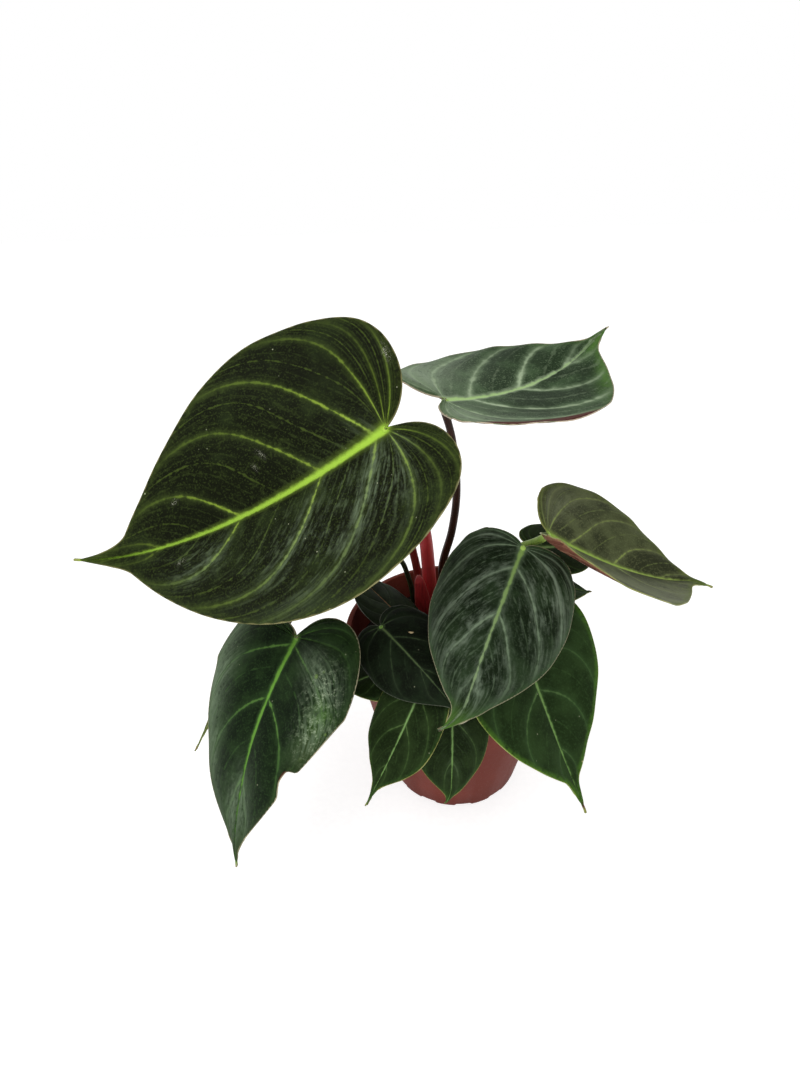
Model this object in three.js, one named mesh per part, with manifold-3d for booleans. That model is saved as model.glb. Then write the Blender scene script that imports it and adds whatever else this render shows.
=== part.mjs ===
// Potted el choco red philodendron: a young plant of fourteen heart-shaped leaves in a round nursery pot.
// Millimetres, +Z up. The origin is the middle of the pot's foot, on the surface it stands on.
import * as THREE from 'three';
import { mergeVertices } from 'three/addons/utils/BufferGeometryUtils.js';
import Module from 'manifold-3d';

const wasm = await Module();
wasm.setup();

// Clearance kept between pieces that touch on the real plant.
const GAP = 0.3;

// Pot: a tapered round pot with a shallow rim band and a notched foot.
const POT_HEIGHT = 100;
const RIM_RADIUS = 60;
const FOOT_RADIUS = 38.4;
const BAND_HEIGHT = 12;
const BAND_STEP = 1.3;
const POT_WALL = 1.8;
const POT_FLOOR = 3;
const POT_SIDES = 48;
const FOOT_NOTCHES = 12;
const NOTCH_WIDTH = 9;
const NOTCH_HEIGHT = 1.6;
const NOTCH_REACH = 6;

// Soil: fills the pot to a little under the rim.
const SOIL_EDGE = 85;
const SOIL_TOP = 88;
const SOIL_SIDES = 36;
const HOLE_DEPTH = 9;
const FOOT_LEVEL = SOIL_TOP - HOLE_DEPTH + GAP;

// Leaves.
const BLADE_THICKNESS = 0.7;
const KEEL_DEPTH = 0.8;
const QUILT = 0.7;
const LATERAL_START = 0.38;
const LATERAL_SWEEP = 1.3;
const FIRST_ROW = 0.03;
const LAST_ROW = 0.975;
const COLUMN_EASE = 1.15;
const MIDRIB_STEPS = 60;
const HOOK_START = 0.82;
const NORMAL_STEP = 0.4;
const PETIOLE_SIDES = 7;
const PETIOLE_FLARE = 1.15;
const PETIOLE_TAPER = 0.85;
const PETIOLE_SEGMENT = 9;

const DEG = Math.PI / 180;
const v3 = (x, y, z) => new THREE.Vector3(x, y, z);
const lerp = (a, b, t) => a + (b - a) * t;
const clamp = (x, lo, hi) => Math.min(hi, Math.max(lo, x));

// Colours as seen on the plant.
const COLOUR = {
  terracotta: 0x8f3b33,
  soil: 0x2a1a12,
  oliveGreen: 0x25331c,
  silverGreen: 0x4d6350,
  greyGreen: 0x4c5840,
  velvetGreen: 0x2c3f30,
  midGreen: 0x24452a,
  nightGreen: 0x171f19,
  maroonStalk: 0x3a1f1a,
  limeStalk: 0x86a63c,
  greenStalk: 0x2c3a22,
  crimson: 0xa12a35,
  brownStem: 0x4a3524,
};

// Blade shape where a leaf states nothing else.
const BLADE = {
  lobe: 0.16, // how far the back lobes reach behind the petiole, in lengths
  wide: 0.26, // where the blade is widest, in lengths
  acumen: 0.12, // length of the drip tip, in lengths
  full: 1, // fullness of the shoulders towards the tip
  widthLeft: 1,
  widthRight: 1,
  lobeLeft: 1,
  lobeRight: 1,
  roll: 0,
  droop: 0, // the midrib sinks by this many degrees from base to tip
  bend: 0, // and turns by this many to its right
  hook: 0, // with this much more turn in the drip tip
  twist: 0,
  foldLeft: 5, // each half rises from the midrib by this angle
  foldRight: 3,
  curlLeft: -15, // and turns on by this much out to the margin
  curlRight: -16,
  veins: 6,
  columns: 4,
};

// The leaves, largest first. base is where the petiole meets the blade, foot where it leaves the soil,
// and via are the points that it passes on the way.
const LEAVES = [
  {
    name: 'leaf_large_left', colour: COLOUR.oliveGreen, stalk: COLOUR.maroonStalk,
    base: [-34, -13, 216], length: 167, half: 69, heading: 188, pitch: -32, roll: -40,
    bend: 30, hook: 4, twist: -22, foldLeft: 19, foldRight: 14, curlLeft: 2, curlRight: -13,
    lobe: 0.13, wide: 0.2, acumen: 0.19, full: 0.7, widthLeft: 0.94, veins: 8, columns: 6,
    foot: [-18.5, 31], via: [[-19.5, 30.5, 113], [-23, 27.5, 135], [-28, 17, 175]], radius: 2.2,
  },
  {
    name: 'leaf_upper_right', colour: COLOUR.silverGreen, stalk: COLOUR.maroonStalk,
    base: [-5, 30, 215], length: 123, half: 52, heading: 27, pitch: -7, roll: 10,
    droop: -33, bend: -29, hook: 12, twist: 8, foldRight: 1, curlRight: 24,
    lobe: 0.11, acumen: 0.16, lobeRight: 0.9, veins: 8, columns: 5,
    foot: [-4, 34], via: [[-5, 34, 116], [0, 33, 140], [2, 32, 165], [-1, 31, 194]], radius: 2.2,
  },
  {
    name: 'leaf_left_hanging', colour: COLOUR.velvetGreen, stalk: COLOUR.greenStalk,
    base: [-80, -32, 119], length: 107, half: 44.5, heading: 234, pitch: -37, roll: 3,
    droop: 31, bend: -18, hook: 4, twist: 4, foldLeft: 10, foldRight: 1, curlLeft: -20, curlRight: -10,
    lobe: 0.15, wide: 0.22, acumen: 0.14, full: 0.1, lobeRight: 0.41, veins: 8, columns: 5,
    foot: [-24, 21], via: [[-29, 14, 94], [-38, 0, 97], [-50, -14, 101.5], [-59, -21, 106], [-70, -27, 112]], radius: 1.6,
  },
  {
    name: 'leaf_right_folded', colour: COLOUR.greyGreen, stalk: COLOUR.limeStalk,
    base: [41, -13, 162], length: 97, half: 41.5, heading: -6, pitch: -30, roll: 15,
    droop: -10, bend: -32, hook: 28, twist: 2, foldLeft: 8, foldRight: 23, curlLeft: 0, curlRight: 17,
    lobe: 0.09, wide: 0.25, acumen: 0.17, full: 0.9, veins: 7, columns: 5,
    foot: [0, 27], via: [[4, 21, 112], [17, 10, 137], [32, -4, 151]], radius: 1.9,
  },
  {
    name: 'leaf_front_centre', colour: COLOUR.velvetGreen, stalk: COLOUR.limeStalk,
    base: [28, -20, 159], length: 94, half: 34, heading: 242, pitch: -25, roll: -19,
    droop: 6, bend: -3, hook: 46, twist: 7, foldLeft: -9, foldRight: -3, curlRight: -38,
    lobe: 0.07, wide: 0.25, acumen: 0.13, lobeLeft: 0.91, veins: 7, columns: 5,
    foot: [-4, 20], via: [[1, 14, 112], [14, 2, 138], [25, -12, 153]], radius: 1.8,
  },
  {
    name: 'leaf_front_right', colour: COLOUR.midGreen, stalk: COLOUR.greenStalk,
    base: [25, -46, 124], length: 80, half: 37.5, heading: 303, pitch: -56, droop: -8, bend: 3, twist: -10,
    foldRight: 7, curlLeft: 7, curlRight: -10, lobe: 0.22, wide: 0.14, acumen: 0.2, full: 0.9,
    lobeLeft: 1.12, lobeRight: 0.75, veins: 7, columns: 5,
    foot: [0, 12], via: [[4, 4, 108], [14, -20, 122]], radius: 1.6,
  },
  {
    name: 'leaf_far_left', colour: COLOUR.nightGreen, stalk: COLOUR.greenStalk,
    base: [-109, 12, 82], length: 68, half: 22.5, heading: 227, pitch: -30, roll: 24, droop: 13, bend: -7,
    wide: 0.24, acumen: 0.24,
    foot: [-22, 38], radius: 1.4,
    via: [[-25, 34, 109], [-31, 30, 125], [-58, 24, 137], [-85, 21, 110], [-97, 18, 86]],
  },
  {
    name: 'leaf_low_front_left', colour: COLOUR.midGreen, stalk: COLOUR.greenStalk,
    base: [-22, -64, 114], length: 55, half: 19.5, heading: 233, pitch: -43, roll: -2,
    droop: 13, bend: 11, hook: -3, foldLeft: 10, foldRight: -5, curlLeft: -12, curlRight: -20,
    acumen: 0.2, widthLeft: 0.89, lobeLeft: 0.6, lobeRight: 0.6,
    foot: [-11, 4], via: [[-13, -8, 105], [-19, -34, 112]], radius: 1.2,
  },
  {
    name: 'leaf_low_front_centre', colour: COLOUR.midGreen, stalk: COLOUR.greenStalk,
    base: [-8, -63, 107], length: 54, half: 19.5, heading: 270, pitch: -67, roll: -1,
    droop: 17, bend: 3, hook: 25, foldLeft: -1, foldRight: 1, curlLeft: -21, curlRight: -18,
    acumen: 0.11, widthLeft: 0.9, lobeRight: 0.5,
    foot: [-5, 4], via: [[-5, -7, 100], [-6, -34, 106]], radius: 1.2,
  },
  {
    name: 'leaf_centre_dark', colour: COLOUR.nightGreen, stalk: COLOUR.greenStalk,
    base: [-39, -39, 130], length: 53, half: 22, heading: 305, pitch: -4, roll: 10,
    droop: 24, bend: -2, foldLeft: 2, foldRight: -26, curlLeft: -14, curlRight: -24,
    lobe: 0.14, acumen: 0.09, widthRight: 0.93,
    foot: [-13, 11], via: [[-15, -3, 106], [-31, -25, 118]], radius: 1.4,
  },
  {
    name: 'leaf_inner_left', colour: COLOUR.nightGreen, stalk: COLOUR.greenStalk,
    base: [-28, 1, 102], length: 45, half: 18.5, heading: 132, pitch: 18, roll: 15, droop: 7, bend: 3,
    lobe: 0.1, acumen: 0.1, lobeRight: 0.6,
    foot: [-22, 6], via: [[-23.5, 4.5, 94]], radius: 1.1,
  },
  {
    name: 'leaf_back_right', colour: COLOUR.nightGreen, stalk: COLOUR.greenStalk,
    base: [45, 16, 137], length: 43, half: 18, heading: 17, pitch: -6, roll: 16, droop: 24, bend: 14,
    foldLeft: 7, foldRight: 1, curlLeft: -11, curlRight: -20, lobe: 0.18,
    foot: [5, 31], via: [[10, 28, 110], [28, 22, 128]], radius: 1.3,
  },
  {
    name: 'leaf_rim_right', colour: COLOUR.midGreen, stalk: COLOUR.greenStalk,
    base: [37, 0, 128], length: 36, half: 15, heading: -2, pitch: -13, droop: 8, bend: -3, hook: -30,
    foot: [6, 20], via: [[11, 17, 106], [25, 8, 120]], radius: 1.2,
  },
  {
    name: 'leaf_rim_left', colour: COLOUR.midGreen, stalk: COLOUR.greenStalk,
    base: [-31, -40.5, 107.2], length: 32, half: 15, heading: 197, pitch: -4, droop: 14, hook: 5,
    foldLeft: -7, foldRight: 4, curlLeft: -24, curlRight: -8, lobeLeft: 0.6,
    foot: [-19, -2], via: [[-21, -10, 97], [-27, -28, 101]], radius: 1.1,
  },
].map((leaf) => ({ ...BLADE, ...leaf }));

// Stem, spear and the red sheaths at the crown.
const STEM = { x: -11, y: 35, radius: 4, top: 96 };
const SPEAR = {
  foot: [-11.5, 25],
  via: [[-12, 25, 103], [-14, 25.5, 126]],
  tip: [-16.5, 26, 150],
  radius: 2.2,
};
const TALL_SHEATH = {
  x: -11.5, y: 25, top: 155, lean: [-5, 1], radius: 3.3, mouth: 2.6, wrap: 300, facing: 250,
};
const SHORT_SHEATH = {
  x: -15, y: 26, top: 119, lean: [-4, 0], radius: 6.9, mouth: 6.6, wrap: 84, facing: 267,
};
const SHEATH_THICKNESS = 0.8;

/** Turns indexed triangles into a geometry. */
function indexed(points, triangles) {
  const geometry = new THREE.BufferGeometry();
  const coordinates = points.flatMap((p) => [p.x, p.y, p.z]);
  geometry.setAttribute('position', new THREE.Float32BufferAttribute(coordinates, 3));
  geometry.setIndex(triangles.flat());
  return geometry;
}

/** A closed three.js geometry as a solid for cutting. */
function toSolid(geometry) {
  const bare = geometry.clone();
  bare.deleteAttribute('normal');
  bare.deleteAttribute('uv');
  const merged = mergeVertices(bare, 1e-4);
  const mesh = new wasm.Mesh({
    numProp: 3,
    vertProperties: merged.attributes.position.array,
    triVerts: new Uint32Array(merged.index.array),
  });
  return new wasm.Manifold(mesh);
}

/** The cut solid back as a geometry. */
function toGeometry(solid) {
  const mesh = solid.getMesh();
  const geometry = new THREE.BufferGeometry();
  geometry.setAttribute('position', new THREE.BufferAttribute(new Float32Array(mesh.vertProperties), 3));
  geometry.setIndex(new THREE.BufferAttribute(new Uint32Array(mesh.triVerts), 1));
  return geometry;
}

/** A lathe about Z; the profile runs from the axis round to the axis again. */
function turned(profile, sides) {
  const lathe = new THREE.LatheGeometry(profile.map(([r, z]) => new THREE.Vector2(r, z)), sides);
  return lathe.rotateX(Math.PI / 2);
}

const outerRadius = (z) => lerp(FOOT_RADIUS, RIM_RADIUS - BAND_STEP, z / POT_HEIGHT);
const innerRadius = (z) => outerRadius(z) - POT_WALL;

function potGeometry() {
  const band = POT_HEIGHT - BAND_HEIGHT;
  const profile = [
    [0, 0],
    [FOOT_RADIUS - 1, 0],
    [FOOT_RADIUS, 1],
    [outerRadius(band), band],
    [RIM_RADIUS - 0.5, band + 1],
    [RIM_RADIUS, POT_HEIGHT - 0.6],
    [RIM_RADIUS - 0.7, POT_HEIGHT],
    [innerRadius(POT_HEIGHT), POT_HEIGHT],
    [innerRadius(POT_FLOOR), POT_FLOOR],
    [0, POT_FLOOR],
  ];
  let pot = toSolid(turned(profile, POT_SIDES));
  for (let i = 0; i < FOOT_NOTCHES; i++) {
    const notch = new THREE.BoxGeometry(NOTCH_REACH * 2, NOTCH_WIDTH, NOTCH_HEIGHT * 2);
    notch.translate(FOOT_RADIUS, 0, 0);
    notch.rotateZ((i + 0.12) * (360 / FOOT_NOTCHES) * DEG);
    pot = pot.subtract(toSolid(notch));
  }
  return toGeometry(pot);
}

/** Everything that stands in the soil: its place and the radius of its hole. */
function soilHoles() {
  const holes = LEAVES.map((leaf) => [...leaf.foot, leaf.radius * PETIOLE_FLARE + GAP * 2]);
  holes.push([STEM.x, STEM.y, STEM.radius + GAP * 1.5]);
  holes.push([TALL_SHEATH.x, TALL_SHEATH.y, TALL_SHEATH.radius + SHEATH_THICKNESS + GAP * 2]);
  return holes;
}

function soilGeometry() {
  const edge = (z) => innerRadius(z) - GAP * 1.7;
  const floor = POT_FLOOR + GAP;
  const profile = [
    [0, floor],
    [edge(floor), floor],
    [edge(SOIL_EDGE), SOIL_EDGE],
    [44, SOIL_EDGE + 1.6],
    [28, SOIL_TOP - 0.5],
    [0, SOIL_TOP],
  ];
  let soil = toSolid(turned(profile, SOIL_SIDES));
  for (const [x, y, radius] of soilHoles()) {
    const hole = new THREE.CylinderGeometry(radius, radius, HOLE_DEPTH * 2, 10).rotateX(Math.PI / 2);
    soil = soil.subtract(toSolid(hole.translate(x, y, SOIL_TOP)));
  }
  const slot = sheathGeometry(SHORT_SHEATH, GAP);
  return toGeometry(soil.subtract(toSolid(slot)));
}

/** The margin of a blade, from the sinus (0) to the drip tip (1): half widths across, lengths along. */
function margin(at, leaf) {
  const { lobe, wide, acumen, full } = leaf;
  const shoulder = 1 - acumen;
  const parts = [
    [0, 0.17, [0, 0], [0.05, -0.6 * lobe], [0.22, -lobe], [0.46, -lobe]],
    [0.17, 0.42, [0.46, -lobe], [0.8, -lobe], [1, wide - 0.558 * (wide + lobe)], [1, wide]],
    [0.42, 0.86, [1, wide], [1, wide + 0.3 * full], [0.6, shoulder - 0.18], [0.15, shoulder]],
    [0.86, 1, [0.15, shoulder], [0.07, shoulder + 0.035], [0.025, 1 - 0.3 * acumen], [0, 1]],
  ];
  const [from, to, ...corners] = parts.find(([, end]) => at <= end) ?? parts[3];
  const t = (at - from) / (to - from);
  const weights = [(1 - t) ** 3, 3 * t * (1 - t) ** 2, 3 * t * t * (1 - t), t ** 3];
  return [0, 1].map((k) => corners.reduce((sum, corner, i) => sum + weights[i] * corner[k], 0));
}

/** A point of the flat blade: along its margin (0 to 1) and across from the midrib (-1 left to 1 right). */
function flatPoint(at, across, leaf) {
  const right = across >= 0;
  const half = leaf.half * (right ? leaf.widthRight : leaf.widthLeft);
  const back = right ? leaf.lobeRight : leaf.lobeLeft;
  const [mx, my] = margin(at, leaf);
  const x = mx * half;
  const y = my * leaf.length * (my < 0 ? back : 1);
  const start = leaf.length * clamp((at - LATERAL_START) / (1 - LATERAL_START), 0, 1) ** LATERAL_SWEEP;
  const w = Math.abs(across);
  const turnX = 0.55 * x;
  const turnY = lerp(start, y, 0.3);
  return [
    Math.sign(across) * (2 * w * (1 - w) * turnX + w * w * x),
    (1 - w) ** 2 * start + 2 * w * (1 - w) * turnY + w * w * y,
  ];
}

/** Frames along the midrib: position, forward, right and up. */
function midribFrames(leaf) {
  const steps = MIDRIB_STEPS;
  const [heading, pitch, roll] = [leaf.heading, leaf.pitch, leaf.roll].map((a) => a * DEG);
  const level = Math.cos(pitch);
  const forward = v3(Math.cos(heading) * level, Math.sin(heading) * level, Math.sin(pitch));
  const right = v3(Math.sin(heading), -Math.cos(heading), 0).applyAxisAngle(forward, roll);
  const up = new THREE.Vector3().crossVectors(right, forward);
  const position = v3(...leaf.base);
  const frame = () => ({
    position: position.clone(),
    forward: forward.clone(),
    right: right.clone(),
    up: up.clone(),
  });
  const frames = [frame()];
  for (let i = 1; i <= steps; i++) {
    const [u0, u1] = [(i - 1) / steps, i / steps];
    const sink = leaf.droop * (u1 ** 1.3 - u0 ** 1.3) * DEG;
    const hook = (Math.max(0, u1 - HOOK_START) - Math.max(0, u0 - HOOK_START)) / (1 - HOOK_START);
    const turn = (leaf.bend * (u1 ** 1.5 - u0 ** 1.5) + leaf.hook * hook) * DEG;
    const twist = leaf.twist * (u1 - u0) * DEG;
    forward.applyAxisAngle(right, -sink);
    up.applyAxisAngle(right, -sink);
    forward.applyAxisAngle(up, -turn);
    right.applyAxisAngle(up, -turn);
    right.applyAxisAngle(forward, twist);
    up.applyAxisAngle(forward, twist);
    position.addScaledVector(forward, leaf.length / steps);
    frames.push(frame());
  }
  return frames;
}

/** Bends a point of the flat blade into its place on the plant. */
function bent(x, y, leaf, frames) {
  const last = frames.length - 1;
  const s = clamp(y / leaf.length, 0, 1) * last;
  const i = Math.min(Math.floor(s), last - 1);
  const mix = (key) => frames[i][key].clone().lerp(frames[i + 1][key], s - i);
  const side = x < 0 ? -1 : 1;
  const fold = (x < 0 ? leaf.foldLeft : leaf.foldRight) * DEG;
  const curl = ((x < 0 ? leaf.curlLeft : leaf.curlRight) || 1e-3) * DEG / leaf.half;
  const reach = Math.abs(x);
  const out = (Math.sin(fold + curl * reach) - Math.sin(fold)) / curl;
  const rise = -(Math.cos(fold + curl * reach) - Math.cos(fold)) / curl;
  return mix('position')
    .addScaledVector(mix('forward'), Math.min(y, 0))
    .addScaledVector(mix('right'), side * out)
    .addScaledVector(mix('up'), rise);
}

/** The middle surface and its upward normal at a place on the blade, quilted between the lateral veins. */
function bladePoint(at, across, leaf, frames) {
  const [x, y] = flatPoint(at, across, leaf);
  const d = NORMAL_STEP;
  const near = across >= 0 ? Math.max(x, 0.01) : Math.min(x, -0.01);
  const outward = Math.sign(near);
  const toRight = bent(near + outward * d, y, leaf, frames).sub(bent(near, y, leaf, frames));
  const ahead = bent(near, y + d, leaf, frames).sub(bent(near, y - d, leaf, frames));
  const normal = new THREE.Vector3().crossVectors(toRight, ahead).multiplyScalar(outward).normalize();
  if (across === 0) {
    const i = Math.round(clamp(y / leaf.length, 0, 1) * (frames.length - 1));
    normal.copy(frames[i].up);
  }
  const w = Math.abs(across);
  const phase = Math.PI * at * leaf.veins;
  const swell = QUILT * (leaf.half / 50) * Math.sin(phase) ** 2 * 4 * w * (1 - w);
  return { point: bent(x, y, leaf, frames).addScaledVector(normal, swell), normal };
}

/** A closed leaf blade: alike triangles on both faces, a keel under the midrib, a thin wall at the margin. */
function bladeGeometry(leaf) {
  const frames = midribFrames(leaf);
  const rowCount = leaf.veins * 2 + 1;
  const rows = Array.from({ length: rowCount }, (_, i) => lerp(FIRST_ROW, LAST_ROW, i / (rowCount - 1)));
  const columns = Array.from({ length: leaf.columns }, (_, j) => ((j + 1) / leaf.columns) ** COLUMN_EASE);
  const tops = [];
  const bottoms = [];
  const add = (at, across, keel) => {
    const { point, normal } = bladePoint(at, across, leaf, frames);
    tops.push(point.clone().addScaledVector(normal, BLADE_THICKNESS / 2));
    bottoms.push(point.clone().addScaledVector(normal, -BLADE_THICKNESS / 2 - keel));
    return tops.length - 1;
  };
  const heart = add(0, 0, KEEL_DEPTH);
  const rib = rows.map((at) => {
    const along = clamp((at - LATERAL_START) / (1 - LATERAL_START), 0, 1);
    return at <= LATERAL_START ? heart : add(at, 0, KEEL_DEPTH * (1 - along));
  });
  const tip = add(1, 0, 0);
  const faces = [];
  const edge = [];
  const face = (...corners) => {
    if (new Set(corners).size === 3) faces.push(corners);
  };
  for (const side of [1, -1]) {
    const grid = rows.map((at, i) => [rib[i], ...columns.map((w) => add(at, side * w, 0))]);
    grid.push(columns.concat(0).map(() => tip));
    for (let i = 0; i < grid.length - 1; i++) {
      for (let j = 0; j < columns.length; j++) {
        const [a, b, c, d] = [grid[i][j], grid[i][j + 1], grid[i + 1][j + 1], grid[i + 1][j]];
        if (side > 0) {
          face(a, b, c);
          face(a, c, d);
        } else {
          face(a, c, b);
          face(a, d, c);
        }
      }
    }
    const rim = [...grid[0], ...grid.slice(1).map((row) => row[columns.length])];
    for (let i = 0; i < rim.length - 1; i++) {
      edge.push(side > 0 ? [rim[i], rim[i + 1]] : [rim[i + 1], rim[i]]);
    }
  }
  const n = tops.length;
  const triangles = faces.flatMap(([a, b, c]) => [[a, b, c], [a + n, c + n, b + n]]);
  for (const [a, b] of edge) {
    triangles.push([a, a + n, b + n], [a, b + n, b]);
  }
  return indexed([...tops, ...bottoms], triangles);
}

/** A closed round stalk along a smooth path; its last ring can be cut parallel to a blade. */
function stalkGeometry(path, startRadius, endRadius, steps, cut) {
  const curve = new THREE.CatmullRomCurve3(path, false, 'centripetal');
  const frames = curve.computeFrenetFrames(steps, false);
  const points = [];
  const triangles = [];
  const sides = PETIOLE_SIDES;
  for (let i = 0; i <= steps; i++) {
    const centre = curve.getPointAt(i / steps);
    const radius = lerp(startRadius, endRadius, Math.min(1, i / steps));
    const tangent = i === 0 ? v3(0, 0, 1) : frames.tangents[i];
    for (let k = 0; k < sides; k++) {
      const angle = (k / sides) * 2 * Math.PI;
      const p = centre.clone()
        .addScaledVector(frames.normals[i], radius * Math.cos(angle))
        .addScaledVector(frames.binormals[i], radius * Math.sin(angle));
      if (i === steps && cut) {
        p.addScaledVector(tangent, -p.clone().sub(centre).dot(cut) / tangent.dot(cut));
      }
      points.push(p);
    }
  }
  for (let i = 0; i < steps; i++) {
    for (let k = 0; k < sides; k++) {
      const [a, b] = [i * sides + k, i * sides + ((k + 1) % sides)];
      triangles.push([a, b, b + sides], [a, b + sides, a + sides]);
    }
  }
  for (let k = 1; k < sides - 1; k++) {
    triangles.push([0, k + 1, k], [steps * sides, steps * sides + k, steps * sides + k + 1]);
  }
  return indexed(points, triangles);
}

function petioleGeometry(leaf) {
  const up = midribFrames(leaf)[0].up;
  const sag = Math.max(0, Math.sin(-Math.min(leaf.foldLeft, leaf.foldRight) * DEG)) * leaf.radius;
  const end = v3(...leaf.base).addScaledVector(up, -(BLADE_THICKNESS / 2 + KEEL_DEPTH + GAP + sag));
  const [x, y] = leaf.foot;
  const via = leaf.via.map((p) => v3(...p));
  const path = [v3(x, y, FOOT_LEVEL), v3(x, y, SOIL_TOP + 1), ...via, end];
  const length = new THREE.CatmullRomCurve3(path).getLength();
  const steps = Math.round(clamp(length / PETIOLE_SEGMENT, 5, 14));
  return stalkGeometry(path, leaf.radius * PETIOLE_FLARE, leaf.radius * PETIOLE_TAPER, steps, up);
}

/** An open red sheath: part of a tapering tube, wrapped round the foot of the young growth. */
function sheathGeometry(sheath, extra = 0) {
  const rings = 8;
  const arcs = 12;
  const bottom = FOOT_LEVEL - extra;
  const inner = [];
  const outer = [];
  for (let i = 0; i <= rings; i++) {
    const t = i / rings;
    const radius = lerp(sheath.radius, sheath.mouth, t) * (i === rings ? 0.8 : 1);
    const wrap = (sheath.wrap * (1 - 0.62 * t ** 2.2) + (extra / radius) * 90) * DEG;
    const z = lerp(bottom, sheath.top, t);
    for (let k = 0; k <= arcs; k++) {
      const angle = sheath.facing * DEG + wrap * (k / arcs - 0.5);
      const lean = [sheath.x + sheath.lean[0] * t ** 1.4, sheath.y + sheath.lean[1] * t ** 1.4];
      const put = (r) => v3(lean[0] + r * Math.cos(angle), lean[1] + r * Math.sin(angle), z);
      inner.push(put(radius - extra));
      outer.push(put(radius + SHEATH_THICKNESS + extra));
    }
  }
  const n = inner.length;
  const row = arcs + 1;
  const triangles = [];
  const quad = (a, b, c, d) => triangles.push([a, b, c], [a, c, d]);
  for (let i = 0; i < rings; i++) {
    for (let k = 0; k < arcs; k++) {
      const [a, b, c, d] = [i * row + k, i * row + k + 1, (i + 1) * row + k + 1, (i + 1) * row + k];
      quad(a + n, b + n, c + n, d + n);
      quad(d, c, b, a);
    }
    const [a, d] = [i * row, (i + 1) * row];
    quad(a, a + n, d + n, d);
    quad(a + arcs + n, a + arcs, d + arcs, d + arcs + n);
  }
  for (let k = 0; k < arcs; k++) {
    quad(k, k + 1, k + 1 + n, k + n);
    const top = rings * row + k;
    quad(top + 1, top, top + n, top + 1 + n);
  }
  return indexed([...inner, ...outer], triangles);
}

function spearGeometry() {
  const [x, y] = SPEAR.foot;
  const path = [v3(x, y, FOOT_LEVEL), v3(x, y, SOIL_TOP + 1),
    ...SPEAR.via.map((p) => v3(...p)), v3(...SPEAR.tip)];
  return stalkGeometry(path, SPEAR.radius, 0.7, 9);
}

function stemGeometry() {
  const { radius, top } = STEM;
  const bottom = FOOT_LEVEL;
  const profile = [
    [0, bottom],
    [radius, bottom],
    [radius, SOIL_TOP + 1],
    [radius * 0.86, SOIL_TOP + 2.5],
    [radius * 0.95, SOIL_TOP + 4],
    [radius * 0.7, top - 1],
    [0, top],
  ];
  return turned(profile, 12).translate(STEM.x, STEM.y, 0);
}

/** A named mesh with its own material. */
function piece(name, geometry, color, roughness) {
  const material = new THREE.MeshStandardMaterial({ color, roughness, metalness: 0, flatShading: true });
  const mesh = new THREE.Mesh(geometry, material);
  mesh.name = name;
  return mesh;
}

const plant = new THREE.Group();
plant.name = 'potted_philodendron';
plant.add(piece('pot', potGeometry(), COLOUR.terracotta, 0.55));
plant.add(piece('soil', soilGeometry(), COLOUR.soil, 0.95));
plant.add(piece('stem', stemGeometry(), COLOUR.brownStem, 0.8));
plant.add(piece('new_leaf_spear', spearGeometry(), COLOUR.maroonStalk, 0.5));
plant.add(piece('sheath_tall_red', sheathGeometry(TALL_SHEATH), COLOUR.crimson, 0.5));
plant.add(piece('sheath_short_red', sheathGeometry(SHORT_SHEATH), COLOUR.crimson, 0.5));
for (const leaf of LEAVES) {
  plant.add(piece(`${leaf.name}_blade`, bladeGeometry(leaf), leaf.colour, 0.6));
  plant.add(piece(`${leaf.name}_petiole`, petioleGeometry(leaf), leaf.stalk, 0.5));
}

export default plant;
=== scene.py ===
"""Potted el choco red philodendron: the finished looks around its CAD frame. Metres, +Z up."""

import logging
import math
from dataclasses import dataclass, field, replace
from enum import Enum
from functools import cache, partial
from typing import Optional, Sequence, Union

import bmesh
import bpy
import numpy as np
from mathutils import Matrix, Vector, noise


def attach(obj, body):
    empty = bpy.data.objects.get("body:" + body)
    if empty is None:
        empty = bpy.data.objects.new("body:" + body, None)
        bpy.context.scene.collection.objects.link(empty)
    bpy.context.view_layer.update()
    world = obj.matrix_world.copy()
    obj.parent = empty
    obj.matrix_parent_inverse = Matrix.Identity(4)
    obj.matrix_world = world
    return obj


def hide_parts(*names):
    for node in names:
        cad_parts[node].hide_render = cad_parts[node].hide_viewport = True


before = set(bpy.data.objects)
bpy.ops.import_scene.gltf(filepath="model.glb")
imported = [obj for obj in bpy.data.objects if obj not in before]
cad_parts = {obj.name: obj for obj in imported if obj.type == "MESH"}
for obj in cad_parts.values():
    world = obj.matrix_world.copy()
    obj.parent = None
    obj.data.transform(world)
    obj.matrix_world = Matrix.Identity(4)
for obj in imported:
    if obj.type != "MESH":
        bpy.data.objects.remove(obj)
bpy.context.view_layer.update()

log = logging.getLogger("philodendron")

Socket = bpy.types.NodeSocket

MM = 0.001
PHOTO_HEIGHT = 1065
# The level in the soil, in mm, that the stalks, the stem and the sheaths start from.
FOOT_LEVEL = 79.3


def linear(code: str) -> tuple[float, float, float, float]:
    """Turns an sRGB hex colour into a linear one.

    Args:
        code: the colour as #rrggbb.

    Returns:
        Red, green, blue and alpha, linear, from 0 to 1.
    """
    parts = [int(code[i : i + 2], 16) / 255 for i in (1, 3, 5)]
    return (*(c / 12.92 if c <= 0.04045 else ((c + 0.055) / 1.055) ** 2.4 for c in parts), 1.0)


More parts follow.
